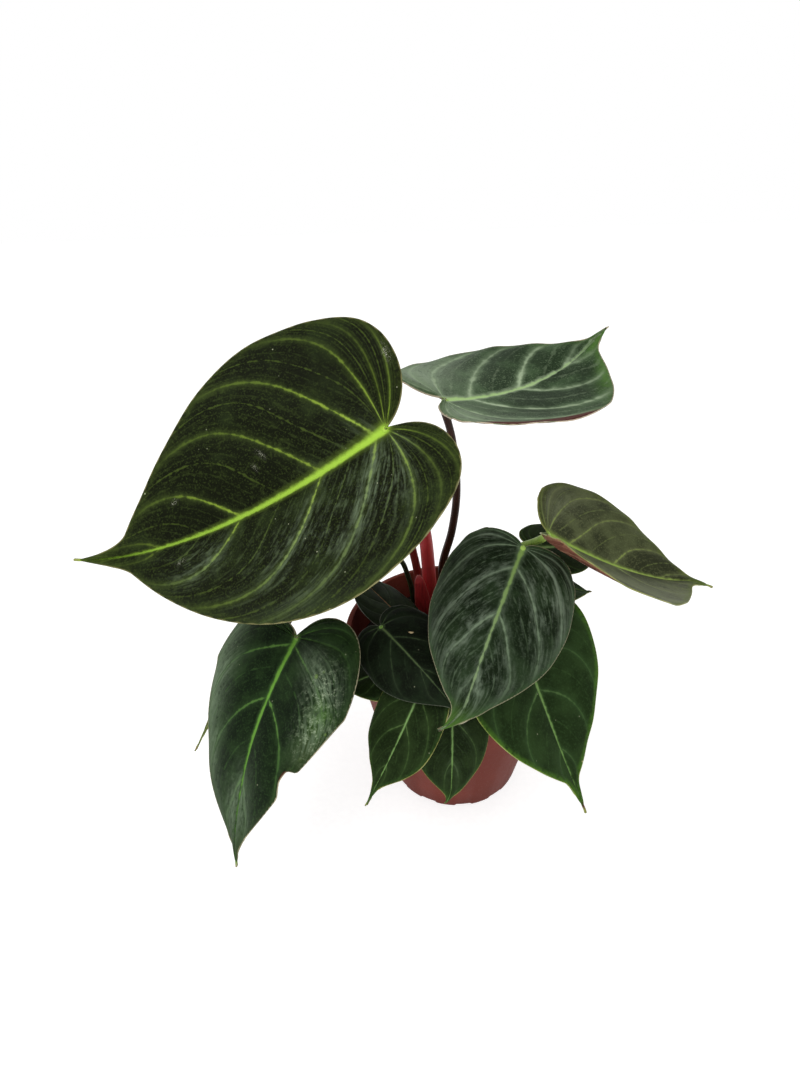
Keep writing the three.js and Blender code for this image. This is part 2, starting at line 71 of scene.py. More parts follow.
def add(tree: bpy.types.NodeTree, kind: str, links: Optional[dict] = None, out: int = 0,
        **settings: object) -> Socket:
    """Adds one node with its settings and links.

    Args:
        tree: the tree that gets the node.
        kind: the node's type, without the ShaderNode that every type starts with.
        links: for each input, by name or number, a socket, a number, a vector or a hex colour.
        out: the number of the output that is wanted.
        **settings: the node's own properties.

    Returns:
        The wanted output socket.
    """
    node = tree.nodes.new("ShaderNode" + kind)
    for key, value in settings.items():
        setattr(node, key, value)
    for key, value in (links or {}).items():
        if isinstance(value, Socket):
            tree.links.new(value, node.inputs[key])
        else:
            node.inputs[key].default_value = linear(value) if isinstance(value, str) else value
    return node.outputs[out]


def paint(tree: bpy.types.NodeTree, base: Union[Socket, str], layers: Sequence[tuple]) -> Socket:
    """Lays colours over a ground colour, each through its mask.

    Args:
        tree: the material's tree.
        base: the ground colour, a socket or a hex colour.
        layers: for each, the colour and then the masks that are multiplied. A mask is a socket, a number,
            or (socket, start, end), which rises softly from 0 at start to 1 at end.

    Returns:
        The socket of the painted colour.
    """
    for colour, *masks in layers:
        mask = None
        for part in masks:
            if isinstance(part, tuple):
                ramp = {0: part[0], 1: part[1], 2: part[2]}
                part = add(tree, "MapRange", ramp, interpolation_type="SMOOTHSTEP")
            if mask is None:
                mask = part
            else:
                mask = add(tree, "Math", {0: mask, 1: part}, operation="MULTIPLY")
        base = add(tree, "Mix", {0: mask, 6: base, 7: colour}, 2, data_type="RGBA")
    return base


def surface(name: str) -> tuple[bpy.types.Material, bpy.types.NodeTree, bpy.types.Node]:
    """Makes a material with one shader.

    Args:
        name: the finish.

    Returns:
        The material, its node tree and its Principled shader.
    """
    material = bpy.data.materials.new(name)
    material.use_nodes = True
    shader = next(n for n in material.node_tree.nodes if n.type == "BSDF_PRINCIPLED")
    return material, material.node_tree, shader


def dress(shader: bpy.types.Node, colour: Socket, relief: Optional[Socket] = None,
          rough: Optional[Socket] = None) -> None:
    """Links what a finish has worked out to its shader.

    Args:
        shader: the Principled shader.
        colour: the painted colour.
        relief: the normal of the bumps.
        rough: the roughness.
    """
    for key, socket in {"Base Color": colour, "Normal": relief, "Roughness": rough}.items():
        if socket is not None:
            shader.id_data.links.new(socket, shader.inputs[key])


def real_mm(tree: bpy.types.NodeTree) -> Socket:
    """Gives the object coordinates in millimetres, so that a pattern's scale is 1 over its size in mm."""
    place = add(tree, "TexCoord", out=3)
    return add(tree, "VectorMath", {0: place, "Scale": 1000}, operation="SCALE")


class Kind(Enum):
    """What a mark on a blade is; the value is the attribute that carries it."""

    # Painted sheen: the grey glow of the velvet where it turns to catch the light.
    SILVER_SHEEN = "silver_sheen"
    CREAM = "cream"
    SCAR = "scar"
    LIME = "lime"
    RUST = "rust"
    SHADE = "shade"
    LEAFY = "leafy"
    SPOT = "spot"


@dataclass(frozen=True)
class Mark:
    """A soft-edged mark on a blade: its middle and its reach along the outline and across.

    Along runs from 0 at the heart to 1 at the tip, across from -1 at the left margin to 1 at the right.
    """

    kind: Kind
    at: float
    across: float
    long: float
    broad: float
    strength: float = 1.0


@dataclass(frozen=True)
class Lift:
    """A stretch of margin that turns up: its middle and reach along the outline, and its side.

    It starts at a share of the way from the midrib to the margin and rises by so many mm.
    """

    at: float
    long: float
    side: int
    start: float
    rise: float


@dataclass(frozen=True)
class BladeFinish:
    """Living aroid leaf, grown with a velvet skin: the fine hairs dull the light and lift a grey sheen.

    Each share says how much a layer shows. The sizes in mm are those on the largest blade, and fine scales
    them down for a smaller one. The hairs are 0.1 mm and the specks 0.3 mm in life, too fine to show in the
    render, so both are drawn coarser.
    """

    name: str
    dark: str
    green: str
    halo: str
    # The colour of the painted sheen, the grey glow where the velvet catches the light.
    silver_sheen: str
    vein: str
    vein_far: str
    rib: str
    rib_end: str
    margin: str
    band: str
    tip: str
    under: str
    under_vein: str
    fine: float = 1.0
    darkness: float = 0.5
    dark_share: float = 0.85
    halo_share: float = 0.6
    vein_share: float = 0.85
    second_share: float = 0.35
    minor_share: float = 0.2
    band_share: float = 0.5
    rim_share: float = 0.7
    tip_share: float = 0.5
    speck_share: float = 0.3
    glow: float = 4.0
    comb: float = 0.25
    strands: float = 13.0
    ragged: float = 0.6
    solid: float = 0.0
    vein_width: float = 1.0
    sheen: float = 0.01
    gloss: float = 0.03
    roughness: float = 0.5

    FIELDS = ("phase", "pitch", "run", "rib", "rib_half", "edge", "along", "out", "side", "force", "heart")
    # The orders of veins: how many to each lateral vein, and how far they are shifted from it.
    ORDERS = (("first", 1, 0.0), ("second", 1, 0.5), ("minor", 6, 0.0))
    # The sizes of the patterns. Veins that lie closer than CALM_MM are drawn less ragged.
    RAGGED_MM = 4.0
    CALM_MM = 16.0
    CLOUD_MM = 20.0
    MOTTLE_MM = 3.2
    HAIR_MM = 0.9
    STREAK_MM = 10.0
    SPECK_MM = 4.5
    SCRATCH_MM = 1.6
    UNDER_MM = 6.0
    MARGIN_MM = 7.0
    # The half widths of the veins: at the midrib and at the margin, and the finest. The shares cap them
    # where the veins lie close.
    VEIN_MM = (1.5, 0.8)
    MINOR_MM = 0.45
    VEIN_OF_PITCH = 0.17
    CORE_OF_VEIN = 0.52
    GLOW_OF_PITCH = 0.28
    PAST_GLOW = 1.6
    MINOR_OF_PITCH = 0.035
    # The midrib's bright core, its edge and its shadow, in its own half widths.
    RIB_REACH = (0.25, 1.35, 2.6)

    def fields(self, tree: bpy.types.NodeTree) -> dict[str, Socket]:
        """Reads what the mesh knows of each place on the blade.

        Args:
            tree: the material's tree.

        Returns:
            A socket for each field, and the distances in mm to the three orders of veins.
        """
        put = partial(add, tree)
        names = (*self.FIELDS, *(kind.value for kind in Kind))
        read = {name: put("Attribute", out=2, attribute_name=name) for name in names}
        ragged = put("TexNoise", {"Vector": real_mm(tree), "Scale": 1 / self.RAGGED_MM / self.ragged,
                                  "Detail": 4.0})
        reach = self.ragged * self.fine
        fuzz = put("MapRange", {0: ragged, 1: 0.25, 2: 0.75, 3: -reach, 4: reach})
        calm = put("MapRange", {0: read["pitch"], 2: self.CALM_MM * self.fine})
        fuzz = put("Math", {0: fuzz, 1: calm}, operation="MULTIPLY")
        for name, times, shift in self.ORDERS:
            turned = put("Math", {0: read["phase"], 1: times, 2: shift}, operation="MULTIPLY_ADD")
            off = put("Math", {0: turned, 1: 0.5}, operation="PINGPONG")
            each = put("Math", {0: read["pitch"], 1: times}, operation="DIVIDE")
            read[name] = put("Math", {0: off, 1: each, 2: fuzz}, operation="MULTIPLY_ADD")
        read["rib"] = put("Math", {0: fuzz, 1: 0.7, 2: read["rib"]}, operation="MULTIPLY_ADD")
        return read

    def upper(self) -> bpy.types.Material:
        """Makes the upper face: dark cells between pale veins, with streaks, specks, painted sheen and a lit
        margin.

        Returns:
            The material.
        """
        material, tree, shader = surface(f"velvet_leaf_{self.name}")
        put = partial(add, tree)
        read = self.fields(tree)
        fine = self.fine
        place = real_mm(tree)
        cloud = put("TexNoise", {"Vector": place, "Scale": 1 / self.CLOUD_MM / fine, "Detail": 3.0})
        mottle = put("TexNoise", {"Vector": place, "Scale": 1 / self.MOTTLE_MM / fine, "Detail": 4.0,
                                  "Roughness": 0.65})
        hairs = put("TexNoise", {"Vector": place, "Scale": 1 / self.HAIR_MM, "Detail": 2.0})
        scratch = put("TexNoise", {"Vector": place, "Scale": 1 / self.SCRATCH_MM, "Distortion": 1.5})
        specks = put("TexVoronoi", {"Vector": place, "Scale": 1 / self.SPECK_MM})
        chance = put("TexVoronoi", {"Vector": place, "Scale": 1 / self.SPECK_MM}, 1)
        across = put("Math", {0: read["phase"], 1: self.strands}, operation="MULTIPLY")
        down = put("Math", {0: read["run"], 1: 1 / self.STREAK_MM / fine}, operation="MULTIPLY")
        half = put("Math", {0: read["side"], 1: 9.0}, operation="MULTIPLY")
        combed = put("CombineXYZ", {0: across, 1: down, 2: half})
        streak = put("TexNoise", {"Vector": combed, "Scale": 1.0, "Detail": 4.0, "Roughness": 0.6})
        loose = put("CombineXYZ", {0: read["phase"], 1: read["out"], 2: half})
        chosen = put("TexNoise", {"Vector": loose, "Scale": 1.7, "Detail": 1.0})
        thick = self.vein_width * fine
        root, end = self.VEIN_MM
        narrow = put("Math", {0: read["pitch"], 1: self.VEIN_OF_PITCH}, operation="MULTIPLY")
        wide = put("MapRange", {0: read["out"], 3: root * thick, 4: end * thick})
        wide = put("Math", {0: wide, 1: narrow}, operation="MINIMUM")
        core = put("Math", {0: wide, 1: self.CORE_OF_VEIN}, operation="MULTIPLY")
        glow = put("Math", {0: read["pitch"], 1: self.GLOW_OF_PITCH}, operation="MULTIPLY")
        glow = put("Math", {0: glow, 1: self.glow * fine}, operation="MINIMUM")
        past = put("Math", {0: glow, 1: self.PAST_GLOW}, operation="MULTIPLY")
        thin = put("Math", {0: read["pitch"], 1: self.MINOR_OF_PITCH}, operation="MULTIPLY")
        thin = put("Math", {0: thin, 1: self.MINOR_MM * fine}, operation="MINIMUM")
        lean, edge, shade = (put("Math", {0: read["rib_half"], 1: share}, operation="MULTIPLY")
                             for share in self.RIB_REACH)
        rib = put("Mix", {0: read["along"], 6: self.rib, 7: self.rib_end}, 2, data_type="RGBA")
        colour = paint(tree, self.green, [
            # The ground: dark cells, pale next to the veins, with combed streaks and hairs.
            (self.dark, (cloud, self.darkness - 0.12, self.darkness + 0.1), self.dark_share),
            (self.dark, (read["first"], glow, past), (cloud, 0.3, 0.6), 0.6),
            (self.halo, (read["first"], glow, 0.0), (mottle, 0.25, 0.65), self.halo_share),
            (self.halo, (streak, 0.5, 0.75), (mottle, 0.3, 0.6), 1.4 * self.comb),
            (self.dark, (streak, 0.48, 0.28), (mottle, 0.3, 0.6), 1.6 * self.comb),
            (self.halo, (hairs, 0.5, 0.7), 0.5),
            (self.dark, read["shade"], (mottle, 0.2, 0.6)),
            # Painted sheen under the silver marks: laid solid, by the veins, in streaks and along a
            # turned-away margin.
            (self.silver_sheen, read["silver_sheen"], (mottle, 0.2, 0.5), self.solid),
            (self.silver_sheen, read["silver_sheen"], (read["first"], past, 0.0), (streak, 0.35, 0.65), 0.85),
            (self.silver_sheen, read["silver_sheen"], (streak, 0.45, 0.75), (mottle, 0.3, 0.6), 0.7),
            (self.silver_sheen, read["silver_sheen"], (read["out"], 0.82, 1.0), 0.5),
            (self.tip, read["leafy"], (mottle, 0.15, 0.6)),
            # The veins, from the finest order to the midrib, and the lit margin.
            (self.halo, (read["minor"], thin, 0.0), (chosen, 0.3, 0.6), self.minor_share),
            (self.halo, (read["first"], 2.4 * thick, 0.3 * fine), read["force"], 0.5),
            (self.vein_far, (read["second"], core, 0.0), (read["out"], 0.04, 0.2), (chosen, 0.25, 0.55),
             self.second_share),
            (self.vein_far, (read["first"], wide, 0.0), (read["out"], 1.0, 0.86), read["force"],
             self.vein_share),
            (self.vein, (read["first"], core, 0.0), (read["out"], 0.9, 0.05), (streak, 0.2, 0.5),
             read["force"], self.vein_share),
            (self.vein, (read["first"], wide, 0.0), (read["heart"], 16 * fine, 2.0), 0.6),
            (self.vein, (read["heart"], 5 * fine, 1.0), 0.7),
            # Painted sheen again: the veins under the silver marks turn silver grey.
            (self.silver_sheen, read["silver_sheen"], (read["minor"], thin, 0.0), (chosen, 0.35, 0.6), self.comb),
            (self.silver_sheen, read["silver_sheen"], (read["first"], wide, 0.2 * fine), 0.6),
            (self.band, (read["edge"], 4.2 * fine, 0.8 * fine), (mottle, 0.25, 0.6), self.band_share),
            (self.tip, (read["along"], 0.8, 1.0), self.tip_share),
            (self.vein_far, (read["rib"], shade, read["rib_half"]), 0.55),
            (self.vein, read["lime"], (mottle, 0.3, 0.6)),
            (rib, (read["rib"], edge, lean)),
            # Damage and wear: cream flecks, specks, dry spots and scratches.
            (self.silver_sheen, read["cream"], (streak, 0.38, 0.62), 0.7),
            ("#93a285", read["cream"], (mottle, 0.5, 0.62), (hairs, 0.35, 0.6), 0.8),
            ("#7fa04a", read["cream"], (specks, 0.3, 0.18), (chance, 0.8, 0.85), 0.8),
            ("#b9bd9c", (specks, 0.1, 0.04), (chance, 0.72, 0.8), self.speck_share),
            (self.under, (read["rust"], 0.35, 0.55)),
            ("#c8c9b4", read["scar"], (scratch, 0.48, 0.5), (scratch, 0.55, 0.52)),
            ("#cdb98e", (read["spot"], 0.4, 0.6)),
            (self.margin, (read["edge"], 0.8 * fine, 0.25 * fine), (read["rib"], 1.5 * fine, 4 * fine),
             self.rim_share),
        ])
        sunk = put("MapRange", {0: read["first"], 1: 1.4 * fine, 2: 0.0, 3: 1.0, 4: 0.35})
        nap = put("Math", {0: hairs, 1: 0.35, 2: sunk}, operation="MULTIPLY_ADD")
        lift = put("Math", {0: streak, 1: 0.5, 2: nap}, operation="MULTIPLY_ADD")
        relief = put("Bump", {"Strength": 0.45, "Distance": 0.35 * MM, "Height": lift})
        rough = put("MapRange", {0: mottle, 3: self.roughness - 0.06, 4: self.roughness + 0.1})
        dress(shader, colour, relief, rough)
        shader.inputs["Sheen Weight"].default_value = self.sheen
        shader.inputs["Sheen Roughness"].default_value = 0.45
        shader.inputs["Specular IOR Level"].default_value = self.gloss
        return material

    def lower(self) -> bpy.types.Material:
        """Makes the under face: a maroon skin that shines a little, with paler raised veins.

        Returns:
            The material.
        """
        material, tree, shader = surface(f"maroon_underside_{self.name}")
        put = partial(add, tree)
        read = self.fields(tree)
        fine = self.fine
        mottle = put("TexNoise", {"Vector": real_mm(tree), "Scale": 1 / self.UNDER_MM / fine, "Detail": 4.0})
        colour = paint(tree, self.under, [
            ("#2a1512", (mottle, 0.45, 0.7), 0.55),
            (self.under_vein, (read["minor"], 0.4 * fine, 0.1 * fine), 0.25),
            (self.under_vein, (read["second"], 0.6 * fine, 0.2 * fine), 0.4),
            (self.under_vein, (read["first"], 1.0 * fine, 0.35 * fine), 0.75),
            (self.rib, (read["rib"], read["rib_half"], 0.2), 0.65),
            (self.margin, (read["edge"], 0.9 * fine, 0.3 * fine), 0.6),
        ])
        height = put("MapRange", {0: read["first"], 1: 1.4 * fine, 2: 0.0})
        dress(shader, colour, put("Bump", {"Strength": 0.5, "Distance": 0.4 * MM, "Height": height}))
        shader.inputs["Roughness"].default_value = 0.45
        shader.inputs["Specular IOR Level"].default_value = 0.12
        return material

    def rim(self) -> bpy.types.Material:
        """Makes the blade's edge: a pale, slightly clear line of cells with darker places.

        Returns:
            The material.
        """
        material, tree, shader = surface(f"pale_margin_{self.name}")
        mottle = add(tree, "TexNoise", {"Vector": real_mm(tree), "Scale": 1 / self.MARGIN_MM, "Detail": 3.0})
        dress(shader, paint(tree, self.margin, [(self.band, (mottle, 0.45, 0.62), 0.8)]))
        shader.inputs["Roughness"].default_value = 0.5
        return material


@dataclass(frozen=True)
class StalkFinish:
    """Living leaf stalk, grown smooth: fine lengthwise lines and a soft, moist gloss.

    The lines lie 0.7 mm apart and run for 11 mm, and darker places are 5 mm wide.
    """

    name: str
    colour: str
    line: str
    top: str
    slot: str
    gloss: float = 0.42

    @cache
    def material(self) -> bpy.types.Material:
        """Makes the stalk's skin, which turns to its upper colour next to the blade.

        Returns:
            The material, made once for all stalks of this finish.
        """
        material, tree, shader = surface(f"stalk_{self.name}")
        put = partial(add, tree)
        place = real_mm(tree)
        drawn = put("VectorMath", {0: place, 1: (1.4, 1.4, 0.09)}, operation="MULTIPLY")
        lines = put("TexNoise", {"Vector": drawn, "Scale": 1.0, "Detail": 4.0})
        mottle = put("TexNoise", {"Vector": place, "Scale": 1 / 5, "Detail": 3.0})
        along = put("Attribute", out=2, attribute_name="along")
        colour = paint(tree, self.colour, [
            (self.line, (lines, 0.48, 0.66), 0.7),
            (self.line, (mottle, 0.5, 0.72), 0.4),
            (self.top, (along, 0.93, 0.97)),
        ])
        dress(shader, colour, put("Bump", {"Strength": 0.3, "Distance": 0.2 * MM, "Height": lines}))
        shader.inputs["Roughness"].default_value = self.gloss
        shader.inputs["Specular IOR Level"].default_value = 0.2
        return material


@dataclass(frozen=True)
class SheathFinish:
    """Living bud sheath, thin and waxy: lengthwise ribs, deep crimson with darker folds and a pale edge.

    The ribs lie 0.9 mm apart and run for 20 mm, and darker places are 7 mm wide.
    """

    name: str = "crimson_bud_sheath"
    colour: str = "#c83a3d"
    deep: str = "#862024"
    pale: str = "#e08480"

    @cache
    def material(self) -> bpy.types.Material:
        """Makes the sheath's skin.

        Returns:
            The material, made once for both sheaths.
        """
        material, tree, shader = surface(self.name)
        put = partial(add, tree)
        place = real_mm(tree)
        drawn = put("VectorMath", {0: place, 1: (1.1, 1.1, 0.05)}, operation="MULTIPLY")
        ribs = put("TexNoise", {"Vector": drawn, "Scale": 1.0, "Detail": 3.0})
        mottle = put("TexNoise", {"Vector": place, "Scale": 1 / 7, "Detail": 3.0})
        along = put("Attribute", out=2, attribute_name="along")
        side = put("Attribute", out=2, attribute_name="out")
        colour = paint(tree, self.colour, [
            (self.deep, (along, 0.75, 0.1), 0.35),
            (self.deep, (ribs, 0.5, 0.7), 0.45),
            (self.deep, (mottle, 0.55, 0.75), 0.3),
            (self.pale, (side, 0.82, 1.0), 0.5),
            (self.pale, (along, 0.93, 1.0), 0.4),
        ])
        dress(shader, colour, put("Bump", {"Strength": 0.4, "Distance": 0.3 * MM, "Height": ribs}))
        shader.inputs["Roughness"].default_value = 0.38
        return material


@dataclass(frozen=True)
class PotFinish:
    """Polypropylene, injection moulded and matte: faint swirls, scuffs and dust that catch the light.

    The swirls of the melt are 38 mm wide and the scuffs 2.4 mm. Grains of dust are 0.1 mm, too fine to show
    in the render, so they are drawn at 0.5 mm.
    """

    name: str = "moulded_terracotta_polypropylene"
    colour: str = "#6d2f24"
    deep: str = "#57251c"
    pale: str = "#804234"

    def material(self) -> bpy.types.Material:
        """Makes the plastic.

        Returns:
            The material.
        """
        material, tree, shader = surface(self.name)
        put = partial(add, tree)
        place = real_mm(tree)
        swirl = put("TexNoise", {"Vector": place, "Scale": 1 / 38, "Detail": 3.0})
        scuff = put("TexNoise", {"Vector": place, "Scale": 1 / 2.4, "Detail": 5.0, "Roughness": 0.7})
        dust = put("TexNoise", {"Vector": place, "Scale": 1 / 0.5, "Detail": 2.0})
        height = put("SeparateXYZ", {0: place}, 2)
        colour = paint(tree, self.colour, [
            (self.deep, (swirl, 0.42, 0.62), 0.5),
            # Painted light and shade: the wall paler towards the rim, where the light falls, and darker at
            # the foot.
            (self.pale, (height, 55.0, 100.0), 0.35),
            (self.deep, (height, 18.0, 0.0), 0.6),
            (self.pale, (scuff, 0.6, 0.72), 0.25),
            ("#a98a80", (dust, 0.66, 0.74), 0.3),
        ])
        relief = put("Bump", {"Strength": 0.25, "Distance": 0.15 * MM, "Height": dust})
        dress(shader, colour, relief, put("MapRange", {0: scuff, 3: 0.5, 4: 0.7}))
        shader.inputs["Specular IOR Level"].default_value = 0.06
        return material


@dataclass(frozen=True)
class SoilFinish:
    """Peat and bark, milled and mixed: a dull, dark crumb with paler wood fibres.

    The crumbs are 2.6 mm and tinted in patches of 4 mm. A fibre is 0.3 mm thick, too fine to show in the
    render, so the fibres are drawn at 0.8 mm.
    """

    name: str
    colour: str
    crumb: str
    fibre: str

    def material(self) -> bpy.types.Material:
        """Makes the crumb.

        Returns:
            The material.
        """
        material, tree, shader = surface(self.name)
        put = partial(add, tree)
        place = real_mm(tree)
        lumps = put("TexVoronoi", {"Vector": place, "Scale": 1 / 2.6})
        tint = put("TexNoise", {"Vector": place, "Scale": 1 / 4, "Detail": 5.0, "Roughness": 0.7})
        hairs = put("TexNoise", {"Vector": place, "Scale": 1 / 0.8, "Detail": 3.0})
        colour = paint(tree, self.colour, [
            (self.crumb, (tint, 0.42, 0.62), 0.85),
            (self.colour, (lumps, 0.3, 0.7), 0.5),
            (self.fibre, (hairs, 0.6, 0.72), 0.5),
        ])
        dress(shader, colour, put("Bump", {"Strength": 0.9, "Distance": 1.2 * MM, "Height": lumps}))
        shader.inputs["Roughness"].default_value = 0.92
        return material


def piece(name: str, bm: bmesh.types.BMesh, materials: Sequence[bpy.types.Material],
          node: str) -> bpy.types.Object:
    """Turns a bmesh into a finished piece of the object.

    Args:
        name: the piece's name.
        bm: its shape, in metres, in place.
        materials: its materials, in the order of the faces' numbers.
        node: the CAD node that it stands for.

    Returns:
        The new object, which rides on the frame.
    """
    mesh = bpy.data.meshes.new(name)
    for face in bm.faces:
        face.smooth = True
    bm.to_mesh(mesh)
    bm.free()
    for material in materials:
        mesh.materials.append(material)
    made = bpy.data.objects.new(name, mesh)
    bpy.context.scene.collection.objects.link(made)
    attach(made, "root")
    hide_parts(node)
    log.info("%s: %d faces for %s", name, len(mesh.polygons), node)
    return made


def turn(vector: np.ndarray, axis: np.ndarray, angle: float) -> np.ndarray:
    """Turns a vector about a unit axis.

    Args:
        vector: the vector.
        axis: the unit axis.
        angle: the angle in radians.

    Returns:
        The turned vector.
    """
    c, s = math.cos(angle), math.sin(angle)
    return vector * c + np.cross(axis, vector) * s + axis * np.dot(axis, vector) * (1 - c)


def ease(x: np.ndarray, low: float, high: float) -> np.ndarray:
    """Rises softly from 0 at low to 1 at high."""
    t = np.clip((x - low) / (high - low), 0, 1)
    return t * t * (3 - 2 * t)


def bell(x: np.ndarray, power: int = 2) -> np.ndarray:
    """Falls softly from 1 at zero on both sides; a higher power gives it a flatter top."""
    return np.exp(-(x**power))


def smooth_path(points: Sequence[Sequence[float]], count: int) -> np.ndarray:
    """Threads a smooth line through points, evenly spaced along its length.

    Args:
        points: the points that it passes, in mm.
        count: how many points are wanted.

    Returns:
        The points of the line.
    """
    between = 60
    p = np.array(points, float)
    p = np.vstack([2 * p[0] - p[1], p, 2 * p[-1] - p[-2]])
    fine = []
    for i in range(1, len(p) - 2):
        d0, d1, d2 = (np.linalg.norm(p[i + k] - p[i + k - 1]) ** 0.5 for k in (0, 1, 2))
        near = ((p[i] - p[i - 1]) / d0 - (p[i + 1] - p[i - 1]) / (d0 + d1)) * d1 + p[i + 1] - p[i]
        far = ((p[i + 2] - p[i + 1]) / d2 - (p[i + 2] - p[i]) / (d1 + d2)) * d1 + p[i + 1] - p[i]
        t = np.linspace(0, 1, between, endpoint=False)[:, None]
        fine.append(p[i] + near * t + (3 * (p[i + 1] - p[i]) - 2 * near - far) * t**2
                    + (2 * (p[i] - p[i + 1]) + near + far) * t**3)
    fine = np.vstack([*fine, p[-2:-1]])
    run = np.concatenate([[0], np.cumsum(np.linalg.norm(np.diff(fine, axis=0), axis=1))])
    wanted = np.linspace(0, run[-1], count)
    return np.stack([np.interp(wanted, run, fine[:, k]) for k in range(3)], axis=1)


def rod(path: np.ndarray, radii: np.ndarray, sides: int) -> bmesh.types.BMesh:
    """Draws a closed round stalk: a capped ring is extruded from step to step of the path.

    Args:
        path: the middle line in mm.
        radii: the radius at each point in mm.
        sides: how many sides the ring has.

    Returns:
        The stalk in metres, with the share of its length in the layer along.
    """
    bm = bmesh.new()
    layer = bm.verts.layers.float.new("along")
    tangents = np.gradient(path, axis=0)
    tangents /= np.linalg.norm(tangents, axis=1)[:, None]
    side = np.cross(tangents[0], (0.3, 1.0, 0.2))
    places = []
    for point, tangent, radius in zip(path, tangents, radii):
        side = side - tangent * np.dot(side, tangent)
        side /= np.linalg.norm(side)
        place = np.eye(4)
        place[:3, :3] = np.stack([side, np.cross(tangent, side), tangent], axis=1) * radius * MM
        place[:3, 3] = point * MM
        places.append(Matrix(place.tolist()))
    bmesh.ops.create_circle(bm, cap_ends=True, segments=sides, radius=1.0, matrix=places[0])
    end = bm.faces[:]
    for i in range(1, len(path)):
        grown = bmesh.ops.extrude_face_region(bm, geom=end)["geom"]
        if i > 1:
            bmesh.ops.delete(bm, geom=end, context="FACES_ONLY")
        end = [g for g in grown if isinstance(g, bmesh.types.BMFace)]
        ring = [g for g in grown if isinstance(g, bmesh.types.BMVert)]
        bmesh.ops.transform(bm, matrix=places[i] @ places[i - 1].inverted(), verts=ring)
        for v in ring:
            v[layer] = i / (len(path) - 1)
    bmesh.ops.recalc_face_normals(bm, faces=bm.faces[:])
    return bm


def spun(profile: Sequence[tuple[float, float]], steps: int) -> bmesh.types.BMesh:
    """Spins a profile about the upright axis into a closed body.

    Args:
        profile: the radius and height of each corner in mm, from the axis round to the axis.
        steps: how many steps the full turn has.

    Returns:
        The body in metres.
    """
    bm = bmesh.new()
    line = [bm.verts.new((radius * MM, 0, z * MM)) for radius, z in profile]
    edges = [bm.edges.new(pair) for pair in zip(line, line[1:])]
    bmesh.ops.spin(bm, geom=line + edges, cent=(0, 0, 0), axis=(0, 0, 1), angle=2 * math.pi, steps=steps,
                   use_merge=True)
    bmesh.ops.remove_doubles(bm, verts=bm.verts, dist=0.01 * MM)
    bmesh.ops.recalc_face_normals(bm, faces=bm.faces[:])
    return bm


